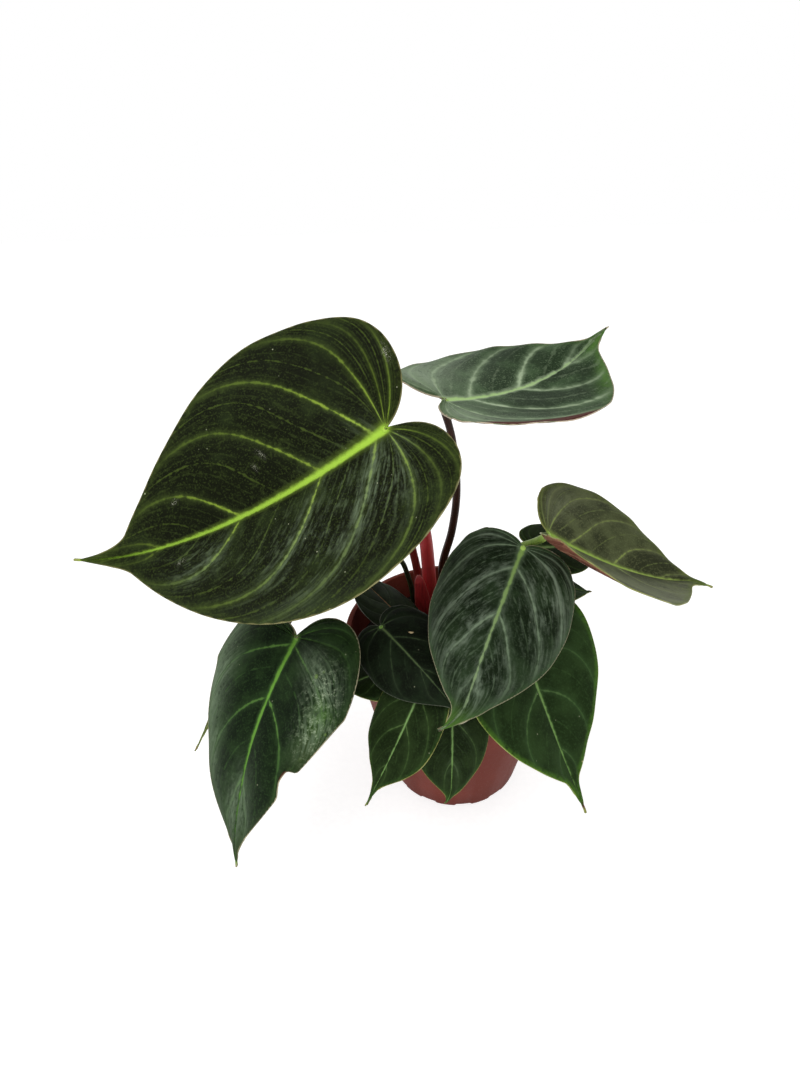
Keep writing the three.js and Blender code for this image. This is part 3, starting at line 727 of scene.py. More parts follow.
@dataclass
class Leaf:
    """One leaf: its blade and the stalk that carries it. Sizes in mm, angles in degrees, as in the part.

    Its slot is the blade's. Its bite is a torn notch: the place and the width along the outline, the depth
    as a share of the half width, and the side.
    """

    name: str
    finish: BladeFinish
    stalk: StalkFinish
    slot: str
    base: tuple[float, float, float]
    length: float
    half: float
    heading: float
    pitch: float
    foot: tuple[float, float]
    via: tuple[tuple[float, float, float], ...]
    radius: float
    roll: float = 0
    droop: float = 0
    bend: float = 0
    hook: float = 0
    twist: float = 0
    fold_left: float = 5
    fold_right: float = 3
    curl_left: float = -15
    curl_right: float = -16
    lobe: float = 0.16
    wide: float = 0.26
    acumen: float = 0.12
    full: float = 1
    width_left: float = 1
    width_right: float = 1
    lobe_left: float = 1
    lobe_right: float = 1
    veins: int = 7
    rows: int = 110
    columns: int = 36
    wave: float = 0.4
    quilt: float = 0.7
    rib_width: float = 1.0
    bite: tuple[float, float, float, float] = (0.5, 0.02, 0.0, 1.0)
    lifts: tuple[Lift, ...] = ()
    marks: tuple[Mark, ...] = ()

    # The skin's thickness and the keel's depth, and the half widths of blade that keel and quilt are for.
    THICK = 0.5
    KEEL = 1.1
    KEEL_HALF = 69
    QUILT_HALF = 50
    # The steps along the midrib, and the places on the outline where its veins and its hook start.
    STEPS = 60
    LATERAL_START = 0.38
    HOOK_START = 0.82
    COLUMN_EASE = 1.25
    # Where the lateral veins reach the outline, how far they sweep forward, and where that starts to fade.
    VEIN_PLACES = (0.0, 0.06, 0.15, 0.26, 0.42, 0.56, 0.72, 0.86, 1.0)
    VEIN_SWEEP = 0.19
    SWEEP_FADE = 0.3
    # The midrib's half width at shares of the blade's length, on the largest blade.
    RIB_PLACES = (0, 0.1, 0.25, 0.5, 0.7, 0.9, 1)
    RIB_WIDTHS = (2.4, 1.9, 1.55, 1.05, 0.7, 0.45, 0.3)
    PITCH_LIMITS = (0.3, 40)
    OUTLINE_STEPS = 260
    # The stalk's radius at its foot and its top, the neck under the blade and the knob on it, in radii.
    PETIOLE_FLARE = 1.15
    PETIOLE_TAPER = 0.85
    PETIOLE_SIDES = 14
    NECK_SWELL = 0.18
    NECK_WAIST = 0.2
    KNOB = ((0.22, 0.7), (0.36, 0.35))
    # The solid blade's half thickness, its keel and the gap under it.
    NECK = 0.35 + 0.8 + 0.3
    END_DEPTH = 0.6
    SOIL_TOP = 88

    def margin(self, at: np.ndarray) -> tuple[np.ndarray, np.ndarray]:
        """Follows the blade's outline from the sinus (0) to the drip tip (1).

        Args:
            at: places along the outline.

        Returns:
            The half width, in half widths, and the place along the blade, in lengths.
        """
        lobe, wide, full, shoulder = self.lobe, self.wide, self.full, 1 - self.acumen
        parts = [
            (0, 0.17, (0, 0), (0.05, -0.6 * lobe), (0.22, -lobe), (0.46, -lobe)),
            (0.17, 0.42, (0.46, -lobe), (0.8, -lobe), (1, wide - 0.558 * (wide + lobe)), (1, wide)),
            (0.42, 0.86, (1, wide), (1, wide + 0.3 * full), (0.6, shoulder - 0.18), (0.15, shoulder)),
            (0.86, 1, (0.15, shoulder), (0.07, shoulder + 0.035), (0.025, 1 - 0.3 * self.acumen), (0, 1)),
        ]
        x, y = np.zeros_like(at), np.zeros_like(at)
        for low, high, *corners in parts:
            inside = (at > low) | (low == 0)
            t = np.clip((at - low) / (high - low), 0, 1)
            weights = ((1 - t) ** 3, 3 * t * (1 - t) ** 2, 3 * t * t * (1 - t), t**3)
            x = np.where(inside, sum(w * c[0] for w, c in zip(weights, corners)), x)
            y = np.where(inside, sum(w * c[1] for w, c in zip(weights, corners)), y)
        return x, y

    def flat(self, at: np.ndarray, across: np.ndarray) -> tuple[np.ndarray, np.ndarray]:
        """Finds places on the blade laid flat.

        Args:
            at: places along the outline, 0 to 1.
            across: places from the midrib to the margin, -1 left to 1 right.

        Returns:
            Millimetres to the right of the midrib and ahead of the stalk.
        """
        right = across >= 0
        x, y = self.margin(at)
        x = x * self.half * np.where(right, self.width_right, self.width_left)
        back = np.where(right, self.lobe_right, self.lobe_left)
        y = y * self.length * np.where(y < 0, back, 1)
        reach = np.clip((at - self.LATERAL_START) / (1 - self.LATERAL_START), 0, 1)
        start = self.length * reach**1.3
        w = np.abs(across)
        place, width, depth, side = self.bite
        w = w * (1 - depth * bell((at - place) / width, 4) * (across * side > 0) * w**3)
        flat_x = np.sign(across) * (1.1 * w * (1 - w) * x + w * w * x)
        flat_y = (1 - w) ** 2 * start + 2 * w * (1 - w) * (0.7 * start + 0.3 * y) + w * w * y
        return flat_x, flat_y

    def frames(self) -> dict[str, np.ndarray]:
        """Walks along the midrib.

        Returns:
            The place and the three directions at each step.
        """
        heading, pitch, roll = (math.radians(a) for a in (self.heading, self.pitch, self.roll))
        level = math.cos(pitch)
        forward = np.array([math.cos(heading) * level, math.sin(heading) * level, math.sin(pitch)])
        right = turn(np.array([math.sin(heading), -math.cos(heading), 0.0]), forward, roll)
        up = np.cross(right, forward)
        place = np.array(self.base, float)
        rows = [(place, forward, right, up)]
        for i in range(1, self.STEPS + 1):
            u0, u1 = (i - 1) / self.STEPS, i / self.STEPS
            sink = math.radians(self.droop * (u1**1.3 - u0**1.3))
            late = (max(0, u1 - self.HOOK_START) - max(0, u0 - self.HOOK_START)) / (1 - self.HOOK_START)
            yaw = math.radians(self.bend * (u1**1.5 - u0**1.5) + self.hook * late)
            twist = math.radians(self.twist * (u1 - u0))
            forward, up = turn(forward, right, -sink), turn(up, right, -sink)
            forward, right = turn(forward, up, -yaw), turn(right, up, -yaw)
            right, up = turn(right, forward, twist), turn(up, forward, twist)
            place = place + forward * self.length / self.STEPS
            rows.append((place, forward, right, up))
        names = ("place", "forward", "right", "up")
        return {name: np.array([row[k] for row in rows]) for k, name in enumerate(names)}

    def bent(self, x: np.ndarray, y: np.ndarray, frames: dict[str, np.ndarray]) -> np.ndarray:
        """Bends flat places into the hanging blade.

        Args:
            x: millimetres to the right of the midrib.
            y: millimetres ahead of the stalk.
            frames: the midrib's steps.

        Returns:
            The places in mm, one row each.
        """
        s = np.clip(y / self.length, 0, 1) * self.STEPS
        i = np.minimum(s.astype(int), self.STEPS - 1)
        share = (s - i)[:, None]
        place, forward, right, up = (frames[k][i] * (1 - share) + frames[k][i + 1] * share for k in frames)
        left = x < 0
        fold = np.radians(np.where(left, self.fold_left, self.fold_right))
        curl = np.where(left, self.curl_left or 1e-3, self.curl_right or 1e-3)
        curl = np.radians(curl) / self.half
        reach = np.abs(x)
        out = (np.sin(fold + curl * reach) - np.sin(fold)) / curl
        rise = -(np.cos(fold + curl * reach) - np.cos(fold)) / curl
        side = np.where(left, -1, 1)
        moved = place + forward * np.minimum(y, 0)[:, None]
        return moved + right * (side * out)[:, None] + up * rise[:, None]

    def origin(self, at: np.ndarray, w: np.ndarray) -> np.ndarray:
        """Traces a place back along its lateral vein to where that vein leaves the midrib.

        Args:
            at: places along the outline.
            w: places from the midrib (0) to the margin (1).

        Returns:
            The place along the outline that the vein started from.
        """
        swept = 0.5 * w + 0.5 * w**6
        start = at
        for _ in range(8):
            faded = np.maximum(0, start - self.SWEEP_FADE) / (1 - self.SWEEP_FADE)
            start = at - self.VEIN_SWEEP * (1 - faded**2) * swept
        return start

    def phase(self, at: np.ndarray, w: np.ndarray) -> np.ndarray:
        """Counts the lateral veins up to a place: a whole number lies on a vein.

        Args:
            at: places along the outline.
            w: places from the midrib to the margin.

        Returns:
            The count at each place. The veins sway a little, each leaf's in its own way.
        """
        sway = 0.012 * np.sin(9 * at + 5 * w + self.heading) + 0.007 * np.sin(31 * at - 9 * w + self.length)
        count = np.interp(self.origin(at + sway * w, w), self.VEIN_PLACES, np.arange(9), left=-0.6)
        return count * (self.veins + 1) / 8

    def force(self, at: np.ndarray, w: np.ndarray, side: np.ndarray) -> np.ndarray:
        """Says how strongly the nearest lateral vein shows, as they differ and fade out towards the tip.

        Args:
            at: places along the outline.
            w: places from the midrib to the margin.
            side: 1 on the right half and -1 on the left.

        Returns:
            A share from 0 to 1 for each place.
        """
        number = np.round(self.phase(at, w)).astype(int)
        share = 0.82 + 0.18 * np.sin(2.3 * number + 1.7 * side + self.length)
        share = np.where(number <= 0, 0.12, np.where(number == 2, 0.35, share))
        return share * (1 - 0.8 * ease(at, 0.7, 0.9))

    def slopes(self, at: np.ndarray, across: np.ndarray) -> np.ndarray:
        """Measures how fast the count of veins rises on the flat blade.

        Args:
            at: places along the outline.
            across: places from the midrib to the margin.

        Returns:
            The veins per mm at each place.
        """
        step, least = 1e-3, 1e-6
        w = np.abs(across)
        side = np.where(across >= 0, 1, -1)
        a0, a1 = np.clip(at - step, 0, 1), np.clip(at + step, 0, 1)
        w0, w1 = np.clip(w - step, 0, 1), np.clip(w + step, 0, 1)
        along, behind, beside, inside = (
            self.flat(a, side * np.maximum(v, least)) for a, v in ((a1, w), (a0, w), (at, w1), (at, w0)))
        xa, ya = ((along[k] - behind[k]) / (a1 - a0) for k in (0, 1))
        xw, yw = ((beside[k] - inside[k]) / (w1 - w0) for k in (0, 1))
        pa = (self.phase(a1, w) - self.phase(a0, w)) / (a1 - a0)
        pw = (self.phase(at, w1) - self.phase(at, w0)) / (w1 - w0)
        area = xa * yw - ya * xw
        area = np.where(np.abs(area) < 1e-3, 1e-3, area)
        return np.hypot((pa * yw - pw * ya) / area, (pw * xa - pa * xw) / area)

    def fields(self, at: np.ndarray, across: np.ndarray) -> dict[str, np.ndarray]:
        """Works out what the finish reads at each place of the blade.

        Args:
            at: places along the outline.
            across: places from the midrib to the margin.

        Returns:
            A list of numbers for each attribute.
        """
        w = np.abs(across)
        x, y = self.flat(at, across)
        side = np.where(across >= 0, 1, -1)
        t = np.linspace(0, 1, self.OUTLINE_STEPS)
        outline = np.concatenate([np.stack(self.flat(t, np.full_like(t, s)), 1) for s in (1, -1)])
        u = np.clip(y / self.length, 0, 1)
        widths = np.interp(u, self.RIB_PLACES, self.RIB_WIDTHS)
        found = {
            "phase": self.phase(at, w),
            "pitch": np.clip(1 / np.maximum(self.slopes(at, across), 1e-3), *self.PITCH_LIMITS),
            "run": w * self.half * 1.1,
            "rib": np.where(y >= 0, np.abs(x), np.hypot(x, y)),
            "rib_half": widths * self.rib_width * (0.35 + 0.65 * self.half / self.KEEL_HALF),
            "edge": np.array([np.min(np.hypot(*(outline - spot).T)) for spot in np.stack([x, y], 1)]),
            "along": u,
            "out": w,
            "side": side.astype(float),
            "force": self.force(at, w, side),
            "heart": np.hypot(x, y),
        }
        for kind in Kind:
            found[kind.value] = np.zeros_like(at)
        for mark in self.marks:
            reach = np.hypot((at - mark.at) / mark.long, (across - mark.across) / mark.broad)
            found[mark.kind.value] = np.maximum(found[mark.kind.value], mark.strength * bell(reach))
        return found

    def normals(self, x: np.ndarray, y: np.ndarray, across: np.ndarray,
                frames: dict[str, np.ndarray]) -> np.ndarray:
        """Finds which way the upper face looks.

        Args:
            x: millimetres to the right of the midrib.
            y: millimetres ahead of the stalk.
            across: places from the midrib to the margin.
            frames: the midrib's steps.

        Returns:
            A unit vector for each place.
        """
        step, least = 0.4, 0.01
        near = np.where(across >= 0, np.maximum(x, least), np.minimum(x, -least))
        outward = np.sign(near)
        to_right = self.bent(near + outward * step, y, frames) - self.bent(near, y, frames)
        ahead = self.bent(near, y + step, frames) - self.bent(near, y - step, frames)
        normal = np.cross(to_right, ahead) * outward[:, None]
        normal /= np.linalg.norm(normal, axis=1)[:, None]
        middle = frames["up"][(np.clip(y / self.length, 0, 1) * self.STEPS).round().astype(int)]
        return np.where(np.abs(across)[:, None] < 1e-6, middle, normal)

    def swell(self, at: np.ndarray, across: np.ndarray, fields: dict[str, np.ndarray]) -> np.ndarray:
        """Says how far the skin rises: puffed between the veins, sunk at the midrib and waved at the margin.

        Args:
            at: places along the outline.
            across: places from the midrib to the margin.
            fields: what the finish reads there.

        Returns:
            The rise in mm at each place.
        """
        w, size = np.abs(across), self.half / self.QUILT_HALF
        side = np.where(across >= 0, 1, -1)
        rise = self.quilt * size * np.abs(np.sin(np.pi * fields["phase"])) ** 0.8 * 4 * w * (1 - w)
        rise -= 0.4 * size * bell(fields["rib"] / fields["rib_half"]) * (fields["edge"] > 1)
        rise += self.wave * size * w**4 * np.sin(2 * np.pi * (fields["phase"] + 0.3 * side))
        for lift in self.lifts:
            near_by = bell((at - lift.at) / lift.long) * (across * lift.side > 0)
            rise += lift.rise * near_by * np.clip((w - lift.start) / (1 - lift.start), 0, 1) ** 1.5
        return rise

    def blade(self) -> bpy.types.Object:
        """Builds the blade: a grid in places along and across, bent into shape, given thickness and a keel.

        Returns:
            The finished blade.
        """
        bm = bmesh.new()
        bmesh.ops.create_grid(bm, x_segments=self.rows, y_segments=self.columns, size=1)
        flat = np.array([v.co for v in bm.verts])
        at = (flat[:, 0] + 1) / 2
        t = -flat[:, 1]
        across = np.sign(t) * np.abs(t) ** self.COLUMN_EASE
        frames = self.frames()
        x, y = self.flat(at, across)
        fields = self.fields(at, across)
        rise = self.swell(at, across, fields) + self.THICK / 2
        points = (self.bent(x, y, frames) + self.normals(x, y, across, frames) * rise[:, None]) * MM
        keel = bell(fields["rib"] / (fields["rib_half"] * 0.9)) * (1 - 0.8 * fields["along"])
        keel *= ease(fields["heart"], 0, 0.1 * self.half)
        thick = self.THICK + self.KEEL * keel * (self.half / self.KEEL_HALF) ** 0.5
        weight = thick / (self.THICK + self.KEEL)
        deform = bm.verts.layers.deform.verify()
        layers = {name: bm.verts.layers.float.new(name) for name in fields}
        for i, v in enumerate(bm.verts):
            v.co = points[i]
            v[deform][0] = float(weight[i])
            for name, layer in layers.items():
                v[layer] = float(fields[name][i])
        bmesh.ops.remove_doubles(bm, verts=bm.verts, dist=0.02 * MM)
        materials = [self.finish.upper(), self.finish.lower(), self.finish.rim()]
        made = piece(f"{self.name}_lamina", bm, materials, f"{self.name}_blade")
        made.vertex_groups.new(name="thickness")
        shell = made.modifiers.new("thickness", "SOLIDIFY")
        shell.thickness = (self.THICK + self.KEEL) * MM
        shell.offset = -1
        shell.vertex_group = "thickness"
        shell.material_offset = 1
        shell.material_offset_rim = 2
        return made

    def petiole(self) -> bpy.types.Object:
        """Builds the stalk, from under the soil to the keel of the blade, with a small knob at the heart.

        Returns:
            The finished stalk.
        """
        up = self.frames()["up"][0]
        base = np.array(self.base)
        below = base - up * (self.NECK + 2 * self.radius * 0.3)
        foot = [(*self.foot, FOOT_LEVEL), (*self.foot, self.SOIL_TOP + 1)]
        path = smooth_path([*foot, *self.via, below, base - up * self.END_DEPTH], self.STEPS)
        t = np.linspace(0, 1, len(path))
        radii = self.radius * (self.PETIOLE_FLARE + (self.PETIOLE_TAPER - self.PETIOLE_FLARE) * t)
        radii *= 1 + self.NECK_SWELL * ease(t, 0.9, 0.97) - self.NECK_WAIST * ease(t, 0.97, 1.0)
        path = np.vstack([path, *(base + up * self.radius * rise for rise, _ in self.KNOB)])
        radii = np.append(radii, [self.radius * share for _, share in self.KNOB])
        stalk = rod(path, radii, self.PETIOLE_SIDES)
        node = f"{self.name}_petiole"
        return piece(f"{self.name}_stalk", stalk, [self.stalk.material()], node)


@dataclass
class NurseryPot:
    """The moulded pot: a tapered wall with a rim band and a notched foot. Sizes in mm."""

    finish: PotFinish = PotFinish()
    height: float = 100
    rim_radius: float = 60
    foot_radius: float = 38.4
    band: float = 12
    step: float = 1.3
    wall: float = 1.8
    floor: float = 3
    notches: int = 12
    notch_width: float = 9
    notch_height: float = 1.6
    notch_reach: float = 6
    notch_turn: float = 0.12
    sides: int = 192

    def outer(self, z: float) -> float:
        """The wall's outer radius at a height."""
        return self.foot_radius + (self.rim_radius - self.step - self.foot_radius) * z / self.height

    def inner(self, z: float) -> float:
        """The wall's inner radius at a height."""
        return self.outer(z) - self.wall

    def notch(self, bm: bmesh.types.BMesh) -> None:
        """Lifts the foot ring in evenly spaced places, which leaves the notches.

        Args:
            bm: the spun pot.
        """
        pitch = 360 / self.notches
        for v in bm.verts:
            radius, turned = math.hypot(v.co.x, v.co.y) / MM, math.degrees(math.atan2(v.co.y, v.co.x))
            away = abs((turned / pitch - self.notch_turn + 0.5) % 1 - 0.5)
            off = away * math.radians(pitch) * self.foot_radius
            in_ring = v.co.z < 1 * MM and radius > self.foot_radius - self.notch_reach - 0.1
            if in_ring and off < self.notch_width / 2:
                v.co.z = self.notch_height * MM + v.co.z * 0.2

    def build(self) -> bpy.types.Object:
        """Spins the profile, lifts the notches of the foot and rounds the rings of the rim.

        Returns:
            The finished pot.
        """
        band = self.height - self.band
        foot, rim, top = self.foot_radius, self.rim_radius, self.height
        bm = spun([
            (0, 0), (foot - self.notch_reach - 0.8, 0), (foot - self.notch_reach, 0), (foot - 0.6, 0),
            (foot, 0.7), (self.outer(2.5), 2.5), (self.outer(band), band), (rim - 0.5, band + 1),
            (rim, top - 0.6), (rim - 0.7, top), (self.inner(top), top), (self.inner(self.floor), self.floor),
            (0, self.floor),
        ], self.sides)
        self.notch(bm)
        corners = {round(z * 10) for z in (band, band + 1, top - 0.6, top)}
        rings = [e for e in bm.edges if all(round(v.co.z / MM * 10) in corners for v in e.verts)
                 and abs(e.verts[0].co.z - e.verts[1].co.z) < 1e-6
                 and abs(e.verts[0].co.xy.length - e.verts[1].co.xy.length) < 1e-6]
        bmesh.ops.bevel(bm, geom=rings, offset=0.3 * MM, segments=3, profile=0.5, affect="EDGES", material=-1)
        return piece("pot_shell", bm, [self.finish.material()], "pot")


@dataclass
class PottingMix:
    """The potting mix with bark chips on its crown. Sizes in mm."""

    ground: SoilFinish = SoilFinish("milled_peat", "#1b110c", "#33211a", "#5a4636")
    bark: SoilFinish = SoilFinish("chipped_bark", "#3a2417", "#5c3b26", "#7c5a3e")
    pot: NurseryPot = field(default_factory=NurseryPot)
    edge: float = 85
    top: float = 88
    gap: float = 0.5
    pitch: float = 1.5
    chips: int = 260
    chip_size: tuple[float, float] = (0.8, 2.6)
    seed: int = 7
    sides: int = 140

    def crown(self, radius: float) -> float:
        """The height of the mix at a distance from the middle."""
        levels = (self.top, self.top - 0.5, self.edge + 1.6, self.edge)
        return float(np.interp(radius, (0, 28, 44, 55), levels))

    def chip(self, bm: bmesh.types.BMesh, random: np.random.Generator, reach: float) -> None:
        """Drops one chip of bark on the crown.

        Args:
            bm: the mix.
            random: the source of its place, size and tilt.
            reach: how far from the middle it may lie.
        """
        radius, angle = reach * math.sqrt(random.random()), 2 * math.pi * random.random()
        size = random.uniform(*self.chip_size)
        shape = Matrix.Diagonal((size * random.uniform(1.2, 2.4), size, size * random.uniform(0.25, 0.5), 1))
        turned = Matrix.Rotation(random.uniform(0, 6.3), 4, "Z")
        tilted = Matrix.Rotation(random.uniform(-0.4, 0.4), 4, "X")
        x, y, z = radius * math.cos(angle), radius * math.sin(angle), self.crown(radius) + 0.2
        place = Matrix.Scale(MM, 4) @ Matrix.Translation((x, y, z)) @ (turned @ tilted) @ shape
        chip = bmesh.ops.create_cube(bm, size=1, matrix=place)["verts"]
        for v in chip:
            v.co += Vector(random.uniform(-0.25, 0.25, 3) * size) * MM
        for face in {f for v in chip for f in v.link_faces}:
            face.material_index = 1
        edges = list({e for v in chip for e in v.link_edges})
        bmesh.ops.bevel(bm, geom=edges, offset=0.12 * size * MM, segments=1, profile=0.5, affect="EDGES",
                        material=-1)

    def build(self) -> bpy.types.Object:
        """Spins the body, roughens its crown and scatters the chips.

        Returns:
            The finished mix.
        """
        rim = self.pot.inner(self.edge) - self.gap
        low = self.pot.floor + 0.3
        crown = [(radius, self.crown(radius)) for radius in np.arange(self.pitch, rim, self.pitch)]
        bm = spun([(0, self.top), *crown, (rim, self.edge), (self.pot.inner(low) - self.gap, low), (0, low)],
                  self.sides)
        for v in bm.verts:
            if v.co.z > (self.edge - 1) * MM and v.co.xy.length < (rim - 0.4) * MM:
                spot = v.co / MM
                v.co.z += (1.1 * noise.noise(spot / 3) + 0.7 * noise.noise(spot / 1.3) - 0.4) * MM
        random = np.random.default_rng(self.seed)
        for _ in range(self.chips):
            self.chip(bm, random, rim - 4)
        materials = [self.ground.material(), self.bark.material()]
        return piece("potting_mix", bm, materials, "soil")


@dataclass
class Sheath:
    """A red sheath round the young growth: part of a tube that opens to a point. Sizes in mm.

    It wraps and faces so many degrees, leans towards its mouth, and closes to a point over its last tenth.
    """

    name: str
    node: str
    x: float
    y: float
    top: float
    lean: tuple[float, float]
    radius: float
    mouth: float
    wrap: float
    facing: float
    finish: SheathFinish = SheathFinish()
    thick: float = 0.8

    # How much of its wrap it loses, where its lip and its point start, and how its edges flare.
    OPENING = 0.62
    LIP_START = 0.88
    POINT_START = 0.9
    FLARE = 0.05

    def build(self) -> bpy.types.Object:
        """Bends a grid into the open tube and gives it its wall.

        Returns:
            The finished sheath.
        """
        bm = bmesh.new()
        bmesh.ops.create_grid(bm, x_segments=28, y_segments=60, size=1)
        along = bm.verts.layers.float.new("along")
        out = bm.verts.layers.float.new("out")
        for v in bm.verts:
            t = (v.co.y + 1) / 2
            across = v.co.x
            radius = self.radius + (self.mouth - self.radius) * t + self.thick
            radius *= 1 - 0.2 * max(0.0, (t - self.LIP_START) / (1 - self.LIP_START))
            wrap = math.radians(self.wrap) * (1 - self.OPENING * t**2.2)
            point = max(0.0, (t - self.POINT_START) / (1 - self.POINT_START))
            wrap *= math.sqrt(max(0.02, 1 - point**2))
            angle = math.radians(self.facing) + wrap * across / 2
            v[along] = t
            v[out] = abs(across)
            radius *= 1 + self.FLARE * abs(across) ** 3
            lean_x, lean_y = (way * t**1.4 for way in self.lean)
            v.co.x = (self.x + lean_x + radius * math.cos(angle)) * MM
            v.co.y = (self.y + lean_y + radius * math.sin(angle)) * MM
            v.co.z = (FOOT_LEVEL + (self.top - FOOT_LEVEL) * t) * MM
        made = piece(self.name, bm, [self.finish.material()], self.node)
        wall = made.modifiers.new("wall", "SOLIDIFY")
        wall.thickness = self.thick * 0.8 * MM
        wall.offset = -1
        return made


@dataclass
class Crown:
    """The vine's short stem, its rolled new leaf and the two red sheaths. Sizes in mm."""

    bark: SoilFinish = SoilFinish("corky_stem", "#3d2c1e", "#5a452f", "#8a7350")
    rolled: StalkFinish = StalkFinish("rolled_leaf", "#3c1a18", "#5a2a22", "#6b7a34", "petiole_maroon")
    stem_at: tuple[float, float] = (-11, 35)
    stem_radius: float = 4
    stem_top: float = 96
    spear: tuple[tuple[float, float, float], ...] = (
        (-11.5, 25, FOOT_LEVEL), (-11.5, 25, 89), (-12, 25, 103), (-14, 25.5, 126), (-16.5, 26, 150))
    spear_radius: float = 2.2
    steps: int = 60
    sheaths: tuple[Sheath, ...] = (
        Sheath("tall_red_sheath", "sheath_tall_red", x=-11.5, y=25, top=155, lean=(-5, 1), radius=3.3,
               mouth=2.6, wrap=300, facing=250),
        Sheath("short_red_sheath", "sheath_short_red", x=-15, y=26, top=119, lean=(-4, 0), radius=6.9,
               mouth=6.6, wrap=84, facing=267))

    def build(self) -> list[bpy.types.Object]:
        """Builds the stem, the rolled leaf and both sheaths.

        Returns:
            The four pieces.
        """
        heights = np.linspace(FOOT_LEVEL, self.stem_top, 26)
        path = np.array([(*self.stem_at, z) for z in heights])
        taper = 1 - 0.3 * ease(heights, self.stem_top - 2, self.stem_top)
        rings = self.stem_radius * (0.93 + 0.07 * np.cos(heights * 1.9)) * taper
        stem = piece("crown_stem", rod(path, rings, 24), [self.bark.material()], "stem")
        line = smooth_path(self.spear, self.steps)
        radii = self.spear_radius * (1 - 0.68 * np.linspace(0, 1, len(line)) ** 1.8)
        rolled = rod(line, radii, 16)
        spear = piece("rolled_leaf", rolled, [self.rolled.material()], "new_leaf_spear")
        return [stem, spear, *(sheath.build() for sheath in self.sheaths)]


OLIVE = BladeFinish(
    "dark_olive", dark="#101308", green="#202913", halo="#38451e", silver_sheen="#74846a", vein="#93ae3c",
    vein_far="#526426", rib="#a2ca46", rib_end="#7f9f3a", margin="#8f8a5c", band="#3f4c1f", tip="#41521c",
    under="#4a241b", under_vein="#7a5a38", darkness=0.42, minor_share=0.3, comb=0.3, band_share=0.3,
    speck_share=0.7, vein_width=0.88)
SILVER_SHEEN = BladeFinish(
    "silver_green", dark="#1c2b17", green="#3e5336", halo="#667a5b", silver_sheen="#84957a", vein="#a3b594",
    vein_far="#8b9c7d", rib="#a3c47e", rib_end="#93a882", margin="#c4b49c", band="#3f5a28", tip="#4c7626",
    under="#4a231c", under_vein="#5f4032", darkness=0.46, glow=4.2, minor_share=0.08, dark_share=0.8,
    gloss=0.06, halo_share=0.85, second_share=0.15, comb=0.08, solid=0.75, vein_width=1.7, ragged=1.3)
GREY = BladeFinish(
    "grey_green", dark="#242814", green="#4a5132", halo="#5b613f", silver_sheen="#6d7358", vein="#86974c",
    vein_far="#6a7840", rib="#8aa848", rib_end="#8a9a52", margin="#909254", band="#586628", tip="#5a7530",
    under="#6b3f33", under_vein="#8a6450", fine=0.8, darkness=0.52, glow=3.0, gloss=0.05, solid=0.6,
    comb=0.12, vein_width=0.8)
VELVET = BladeFinish(
    "blue_velvet", dark="#131d0f", green="#263520", halo="#3a4834", silver_sheen="#82917d", vein="#75886a",
    vein_far="#54664c", rib="#7d9c52", rib_end="#7f8f72", margin="#a09a7c", band="#34502a", tip="#5f8a30",
    under="#4c241d", under_vein="#6a4a3a", fine=0.7, halo_share=0.7, comb=0.2, strands=7.0, ragged=0.9)
BRIGHT = BladeFinish(
    "rich_green", dark="#19280f", green="#273a1b", halo="#2e4424", silver_sheen="#4a5f40", vein="#5f7c48",
    vein_far="#3f5a30", rib="#7a9c5a", rib_end="#5f8042", margin="#8f9f48", band="#466c22", tip="#3a5f1c",
    under="#4c261c", under_vein="#6a4a3a", fine=0.7, band_share=0.7, vein_share=0.6, comb=0.12,
    second_share=0.2)
HANGING = BladeFinish(
    "deep_green", dark="#0c170a", green="#1f3117", halo="#2a3f20", silver_sheen="#6e8066", vein="#5a823a",
    vein_far="#38552a", rib="#6a9c3a", rib_end="#56803a", margin="#b0a888", band="#2c3c1c", tip="#3c4828",
    under="#42221b", under_vein="#5f4032", fine=0.75, halo_share=0.5, band_share=0.4, comb=0.15,
    vein_width=0.9, ragged=0.8, solid=0.5)
NIGHT = BladeFinish(
    "night_green", dark="#0c1109", green="#172213", halo="#1f291a", silver_sheen="#343e2e", vein="#50663f",
    vein_far="#303d29", rib="#55683f", rib_end="#39462f", margin="#5f6456", band="#1c2818", tip="#1c2818",
    under="#2c1814", under_vein="#40302a", fine=0.5, vein_share=0.45, second_share=0.2, minor_share=0.12,
    comb=0.12)
SMALL = BladeFinish(
    "mid_green", dark="#15200c", green="#223016", halo="#2b3d1e", silver_sheen="#465440", vein="#5f7a46",
    vein_far="#42592e", rib="#7a9c5e", rib_end="#66884a", margin="#9a9a50", band="#355224", tip="#365a20",
    under="#3c201a", under_vein="#5f4032", fine=0.5, vein_share=0.5, second_share=0.15, comb=0.12,
    vein_width=0.85)
BRONZE = replace(NIGHT, name="dark_bronze", dark="#172012", green="#27341f", rib="#8a6848", rib_end="#6a4f38")
FRESH = replace(SMALL, name="fresh_green", dark="#24361c", green="#385230", tip="#62785a")
MAROON_STALK = StalkFinish("dark_maroon", "#2c180e", "#4a2417", "#93b15c", "petiole_maroon")
RED_STALK = StalkFinish("maroon_red", "#7c2c26", "#96443a", "#a4c846", "petiole_maroon")
LIME_STALK = StalkFinish("lime_green", "#7f9a44", "#5c7a34", "#a2c45c", "petiole_lime")
GREEN_STALK = StalkFinish("dark_green", "#2c3620", "#46502c", "#6f9440", "petiole_green")
